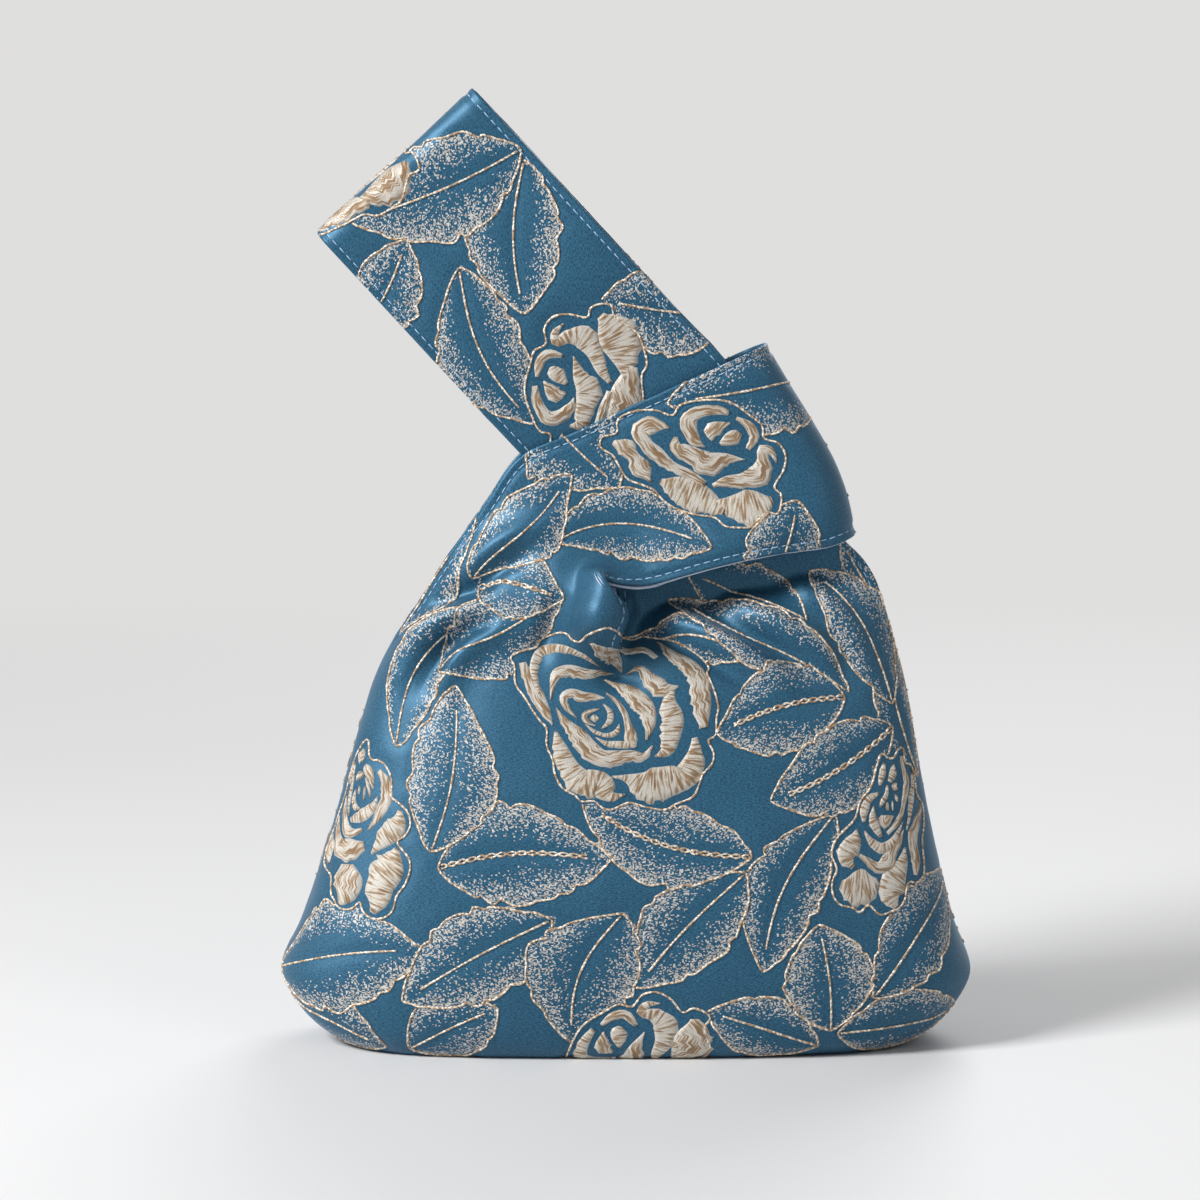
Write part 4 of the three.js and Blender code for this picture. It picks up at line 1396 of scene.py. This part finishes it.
brocadeLook = {
    "surface": {
        "IOR": 1.75,
        "Specular Tint": (0.34, 0.68, 1.0, 1),
        "Sheen Weight": 0.15,
        "Sheen Roughness": 0.4,
        "Sheen Tint": (0.30, 0.62, 0.95, 1),
    },
    "shade": (0.004, 0.028, 0.060, 1),
    "blue": (0.026, 0.107, 0.177, 1),
    "tan": (0.36, 0.29, 0.21, 1),
    "pale": (0.68, 0.64, 0.59, 1),
    "warp": (900, 4400, 1),  # weave, per metre
    "weft": (4400, 1300, 1),
    "warpShare": 0.6,
    "blueFrom": (0.5, 8.0),  # of the weave: where the blue begins, and how fast it comes
    "cloud": 90.0,  # slow change over the cloth, per metre
    "cloudTone": 0.4,
    "plainTone": 0.3,
    "fleck": (0.00048, 0.00038, 1.0),  # size of a woven fleck
    "density": 0.62,  # share of flecks at a leaf's outline
    "densityPower": 1.3,  # how fast they thin out
    "bareFrom": 0.95,  # depth in a leaf with no fleck
    "bareChange": 0.3,  # by the slow change
    "wobble": (0.0006, 0.0006, 0.0),  # of the rows of flecks
    "wobbleScale": 900.0,
    "toneShift": (7.3, 2.1, 0),  # sets a fleck's tone apart from its chance
    "roughness": 0.41,
    "weaveRoughness": 0.10,  # more, on the weave and the flecks
    "fleckRoughness": 0.12,
    "weaveHeight": 0.7,  # share of a fleck's
    "bump": 0.4,
    "bumpDepth": 0.0003,
}


def makeBrocade():
    look = brocadeLook
    material, shade, shader = newMaterial("brocade", look["surface"])
    place = shade.attribute("cloth")
    leaf = shade.attribute("leaf", "Fac")
    warp = shade.noise(shade.vector("MULTIPLY", place, look["warp"]), 1.0, 1.0)
    weft = shade.noise(shade.vector("MULTIPLY", place, look["weft"]), 1.0, 1.0)
    weave = warp * look["warpShare"] + weft * (1 - look["warpShare"])
    cloud = shade.noise(place, look["cloud"], 3.0)
    wobble = shade.noise(place, look["wobbleScale"], 0.0, "Color")
    spread = shade.vector("ADD", place, shade.vector("MULTIPLY", wobble, look["wobble"]))
    cells = shade.vector("FLOOR", shade.vector("DIVIDE", spread, look["fleck"]), (0, 0, 0))
    chance = shade.lots(cells)
    tone = shade.lots(shade.vector("ADD", cells, look["toneShift"]))
    depth = leaf + (cloud - 0.5) * look["bareChange"]
    thinning = ((look["bareFrom"] - depth) / look["bareFrom"]).clamped() ** look["densityPower"]
    density = thinning * look["density"] * (leaf > 0.0)
    fleck = chance < density
    level = weave.above(look["blueFrom"]) + cloud * look["cloudTone"] + look["plainTone"]
    ground = shade.mixed(level, look["shade"], look["blue"])
    thread = shade.mixed(tone, look["tan"], look["pale"])
    colour = shade.mixed(fleck, ground, thread)
    roughness = look["roughness"] + weave * look["weaveRoughness"] + fleck * look["fleckRoughness"]
    height = weave * look["weaveHeight"] + fleck
    finishMaterial(shade, shader, colour, roughness, height, look["bump"], look["bumpDepth"])
    return material


goldLook = {
    "surface": {"Metallic": 0.15, "IOR": 1.5},
    "shade": (0.085, 0.055, 0.035, 1),
    # the brown is partly the thread's own tone, partly painted shade; the light is a painted highlight
    "brownShade": (0.40, 0.235, 0.115, 1),
    "gold": (0.66, 0.49, 0.32, 1),
    "light": (1.0, 0.95, 0.86, 1),
    "streak": (130, 1150, 0),  # per metre along and across a streak
    "goldFrom": (0.38, 9.0),  # of a streak: where a colour begins, and how fast it comes
    "highlightFrom": (0.46, 10.0),
    "speck": 2300.0,
    "speckFrom": (0.56, 8.0),
    "speckShare": 0.8,
    "rimHighlightFrom": (0.55, 2.5),  # of the nearness to a petal's edges, which are lighter: a painted highlight
    "rimHighlightShare": 0.9,
    "roughness": 0.34,
    "speckRoughness": 0.2,
    "streakHeight": 1.5,
    "bump": 0.8,
    "bumpDepth": 0.0004,
}
cordLook = {
    "surface": {"Metallic": 0.2, "IOR": 1.5},
    # the dark is painted shade and the light a painted highlight, in beads at random along a cord
    "dark": (0.36, 0.23, 0.13, 1),
    "light": (0.98, 0.89, 0.76, 1),
    # painted shade in the groove of the cord's twist
    "shadedGroove": (0.40, 0.235, 0.115, 1),
    "bead": (850, 1.5, 0),  # per metre along a cord, and round it
    "highlightFrom": (0.4, 5.0),
    "twist": 0.0014,  # metres of a turn
    "grooveFrom": (0.6, 3.0),
    "grooveShare": 0.5,
    "roughness": 0.42,
    "beadRoughness": 0.1,
    "bump": 0.6,
    "bumpDepth": 0.0003,
}


def makeGold():
    look = goldLook
    material, shade, shader = newMaterial("gold_thread", look["surface"])
    thread = shade.attribute("thread")
    edge = shade.node("ShaderNodeSeparateXYZ", None, {0: thread}, 2)
    streak = shade.noise(shade.vector("MULTIPLY", thread, look["streak"]), 1.0, 2.0)
    speck = shade.noise(thread, look["speck"], 0.0)
    # painted highlight along both edges of each petal
    rim = edge.above(look["rimHighlightFrom"]).clamped() * look["rimHighlightShare"]
    # streaks of the thread's own tones, with painted shade in the brown ones and painted highlights in the
    # light ones
    warm = shade.mixed(streak.above(look["goldFrom"]) + rim, look["brownShade"], look["gold"])
    bright = shade.mixed(streak.above(look["highlightFrom"]) + rim, warm, look["light"])
    dark = speck.above(look["speckFrom"]).clamped() * look["speckShare"]
    colour = shade.mixed(dark, bright, look["shade"])
    roughness = look["roughness"] + speck * look["speckRoughness"]
    height = streak * look["streakHeight"] - dark
    finishMaterial(shade, shader, colour, roughness, height, look["bump"], look["bumpDepth"])
    return material


def makeCordGold():
    look = cordLook
    material, shade, shader = newMaterial("gold_cord", look["surface"])
    thread = shade.attribute("thread")
    along = shade.node("ShaderNodeSeparateXYZ", None, {0: thread})
    phase = shade.math("FRACT", along / look["twist"] + along.sibling(1))
    # the twist's groove: darkened with painted shade, and sunk by the bump
    shadedGroove = (shade.math("ABSOLUTE", phase - 0.5) * 2.0).above(look["grooveFrom"]).clamped()
    tone = shade.noise(shade.vector("MULTIPLY", thread, look["bead"]), 1.0, 1.0)
    # beads of painted shade and painted highlight along the cord
    beaded = shade.mixed(tone.above(look["highlightFrom"]), look["dark"], look["light"])
    colour = shade.mixed(shadedGroove * look["grooveShare"], beaded, look["shadedGroove"])
    roughness = look["roughness"] + tone * look["beadRoughness"]
    finishMaterial(shade, shader, colour, roughness, 1.0 - shadedGroove, look["bump"], look["bumpDepth"])
    return material


liningLook = {"dark": (0.46, 0.55, 0.70, 1), "light": (0.62, 0.71, 0.84, 1), "roughness": 0.75}
threadLook = {"dark": (0.20, 0.38, 0.58, 1), "light": (0.42, 0.60, 0.80, 1), "roughness": 0.6}
plainLook = {  # of both
    "sheen": 0.1,
    "weave": 1600.0,  # per metre
    "weaveRoughness": 0.1,
    "bump": 0.4,
    "bumpDepth": 0.0002,
}


def makePlain(name, look):
    material, shade, shader = newMaterial(name, {"Sheen Weight": plainLook["sheen"]})
    place = shade.node("ShaderNodeTexCoord", None, None, "Object")
    weave = shade.noise(place, plainLook["weave"], 2.0)
    colour = shade.mixed(weave, look["dark"], look["light"])
    roughness = look["roughness"] + weave * plainLook["weaveRoughness"]
    finishMaterial(shade, shader, colour, roughness, weave, plainLook["bump"], plainLook["bumpDepth"])
    return material


brocade = makeBrocade()
gold = makeGold()
cordGold = makeCordGold()
lining = makePlain("lining", liningLook)
seamThread = makePlain("seam_thread", threadLook)
print("materials ready")


# A leaf from its pixels, with the bend that the photograph shows, so what the cloth's folds add is taken off
def pixelLeaf(sheet, leaf, chance):
    on = leaf.get("on")
    (x0, y0), (x1, y1) = leaf["base"], leaf["tip"]
    middle = ((x0 + x1) / 2 + leaf["bend"] * (y1 - y0), (y0 + y1) / 2 - leaf["bend"] * (x1 - x0))
    base, tip, via = (clothPoint(sheet, pixel, on) for pixel in (leaf["base"], leaf["tip"], middle))
    ahead = tip - base
    bend = ((via - base) @ np.array((-ahead[1], ahead[0]))) / (ahead @ ahead)
    bend = np.clip(bend, -leafStyle["mostBend"], leafStyle["mostBend"])
    made = makeLeaf(base, tip, leaf["width"], bend, chance, "chain" in leaf)
    return dict(made, bare=leaf.get("bare", made["bare"]))


# A rose at a pixel, with its size and tilt as the photograph shows them. One on folded cloth has each of its
# points set by its own pixel.
def pixelRose(sheet, rose, step=12):
    if "folded" in rose:
        reach = np.array(rose["size"]) / 2 / folds["pixel"] * np.array((1, -1))

        def byPixels(local):
            return np.array([clothHit(sheet, pixel) for pixel in rose["centre"] + local * reach])

        return layRose(rose, byPixels)
    on = rose.get("on")
    right, down = pixelAxes(sheet, on or rose["centre"], step)
    up = -down
    tilt = math.radians(rose["tilt"])
    ahead = right * math.cos(tilt) + up * math.sin(tilt)
    aside = up * math.cos(tilt) - right * math.sin(tilt)
    stretch = np.array([np.linalg.norm(ahead), np.linalg.norm(aside)]) / folds["pixel"]
    size = np.array(rose["size"]) * stretch.clip(*roseStyle["stretch"])
    turn = math.degrees(math.atan2(ahead[1], ahead[0]))
    rose = dict(rose, centre=clothPoint(sheet, rose["centre"], on), tilt=turn, size=size)
    return layRose(rose, flatPlace(rose))


def setAttribute(piece, name, kind, values):
    attribute = piece.data.attributes.new(name, kind, "POINT")
    field = "value" if kind == "FLOAT" else "vector"
    attribute.data.foreach_set(field, np.ascontiguousarray(values, np.float32).ravel())


# A piece of the front, or of the back with y turned round. Nothing goes below the floor.
def addPiece(name, points, faces, material, back):
    points = np.array(points)
    points[:, 2] = np.maximum(points[:, 2], 0)
    if back:
        points = points * np.array((1, -1, 1))
        faces = [tuple(reversed(face)) for face in faces]
    piece = addMesh(name, points, faces, material)
    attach(piece, "root")
    return piece


cloth = {"brocade": 0.0012, "gap": 0.0003, "lining": 0.0008}  # thicknesses, as in the frame


def makeSide(side, sheet, leaves, roses, taken, chance):
    back = side == "back"
    depth = placeMotifs(sheet, leaves, roses, taken, chance)
    lines = shownLines(leaves, roses)
    sheet = pucker(sheet, lines)
    solid, faces = thicken(sheet, 0, cloth["brocade"])
    outer = addPiece(f"outer_{side}_cloth", solid, faces.tolist(), brocade, back)
    setAttribute(outer, "cloth", "FLOAT_VECTOR", np.vstack((sheet["flatPoints"], sheet["flatPoints"])))
    setAttribute(outer, "leaf", "FLOAT", np.concatenate((depth, np.full(len(depth), -1.0))))
    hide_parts(f"outer_{side}_panel")

    under = cloth["brocade"] + cloth["gap"]
    solid, faces = thicken(sheet, under, under + cloth["lining"], liningShift(sheet))
    inner = addPiece(f"lining_{side}_cloth", solid, faces.tolist(), lining, back)
    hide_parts(f"lining_{side}_panel")

    outlines, petals, stitches = Meshes(), Meshes(), Meshes()
    for line in lines:
        addLine(outlines, sheet, line)
    for rose in roses:
        for petal in rose["petals"]:
            grid = petalGrid(petal, chance)
            addPetal(petals, sheet, grid, chance.random() < roseStyle["lengthwise"])
    addStitches(stitches, sheet)
    trims = {"outlines": (outlines, cordGold), "roses": (petals, gold), "topstitch": (stitches, seamThread)}
    for name, (meshes, material) in trims.items():
        points = np.vstack(meshes.points)
        piece = addPiece(f"{side}_{name}", points, meshes.faces, material, back)
        setAttribute(piece, "thread", "FLOAT_VECTOR", np.vstack(meshes.thread))
        print(side, name, len(meshes.faces), "faces")


chance = random.Random(7)
leaves = [pixelLeaf(sheet, leaf, chance) for leaf in frontLeaves]
roses = [pixelRose(sheet, rose) for rose in frontRoses]
makeSide("front", sheet, leaves, roses, seenPoints(sheet), chance)
roses = [layRose(rose, flatPlace(rose)) for rose in backRoses]
makeSide("back", sheet, [], roses, np.zeros(len(sheet["points"]), bool), chance)

# Pale floor that fades into the pale background, and soft light from the upper left
studio = {
    "floorSize": 8.0,
    "floor": (0.73, 0.73, 0.735, 1),
    "floorRoughness": 0.6,
    "background": (0.74, 0.735, 0.73, 1),
    "fadeFrom": 0.35,  # metres from the middle
    "fadeTo": 1.3,
    "ambient": 0.15,
    "ambientColour": (0.95, 0.97, 1.0, 1),
    "key": {"place": (-1.25, -0.78, 1.20), "size": 0.6, "power": 42},
    "fill": {"place": (1.4, -1.3, 1.2), "size": 1.0, "power": 4},
    "back": {"place": (0.5, 1.6, 1.1), "size": 1.0, "power": 14},
}


def seenDirectly(shade):
    seen = shade.node("ShaderNodeLightPath", output="Is Camera Ray")
    return (seen + seen.sibling("Is Glossy Ray") + seen.sibling("Is Transmission Ray")).clamped()


def makeFloor():
    half = studio["floorSize"] / 2
    corners = np.array([(-half, -half, 0), (half, -half, 0), (half, half, 0), (-half, half, 0)])
    constants = {"Roughness": studio["floorRoughness"], "Base Color": studio["floor"]}
    material, shade, shader = newMaterial("floor", constants)
    place = shade.node("ShaderNodeNewGeometry", None, None, "Position")
    away = shade.node("ShaderNodeVectorMath", {"operation": "LENGTH"}, {0: place}, "Value")
    fade = (away - studio["fadeFrom"]) / (studio["fadeTo"] - studio["fadeFrom"])
    far = fade.clamped() * seenDirectly(shade)
    glow = shade.node("ShaderNodeEmission", None, {"Color": studio["background"], "Strength": 1.0})
    lit = Shade(shade.tree, shader.outputs[0])
    surface = shade.node("ShaderNodeMixShader", None, {0: far, 1: lit, 2: glow})
    shade.tree.links.new(surface.socket, shade.tree.nodes["Material Output"].inputs["Surface"])
    addMesh("floor", corners, [(0, 1, 2, 3)], material)


def makeWorld():
    world = bpy.data.worlds.new("world")
    scene.world = world
    world.use_nodes = True
    shade = Shade(world.node_tree)
    light = {"Color": studio["ambientColour"], "Strength": studio["ambient"]}
    ambient = shade.node("ShaderNodeBackground", None, light)
    plain = shade.node("ShaderNodeBackground", None, {"Color": studio["background"], "Strength": 1.0})
    surface = shade.node("ShaderNodeMixShader", None, {0: seenDirectly(shade), 1: ambient, 2: plain})
    shade.tree.links.new(surface.socket, shade.tree.nodes["World Output"].inputs["Surface"])


def addLamp(name):
    lampLook = studio[name]
    data = bpy.data.lights.new(name, "AREA")
    data.size = lampLook["size"]
    data.energy = lampLook["power"]
    lamp = bpy.data.objects.new(name, data)
    lamp.location = lampLook["place"]
    aim = Vector((0, 0, sum(p[2] for p in cadBox) / 2))
    lamp.rotation_euler = (lamp.location - aim).to_track_quat("Z", "Y").to_euler()
    scene.collection.objects.link(lamp)


makeFloor()
makeWorld()
for lampName in ("key", "fill", "back"):
    addLamp(lampName)
print("stage ready")
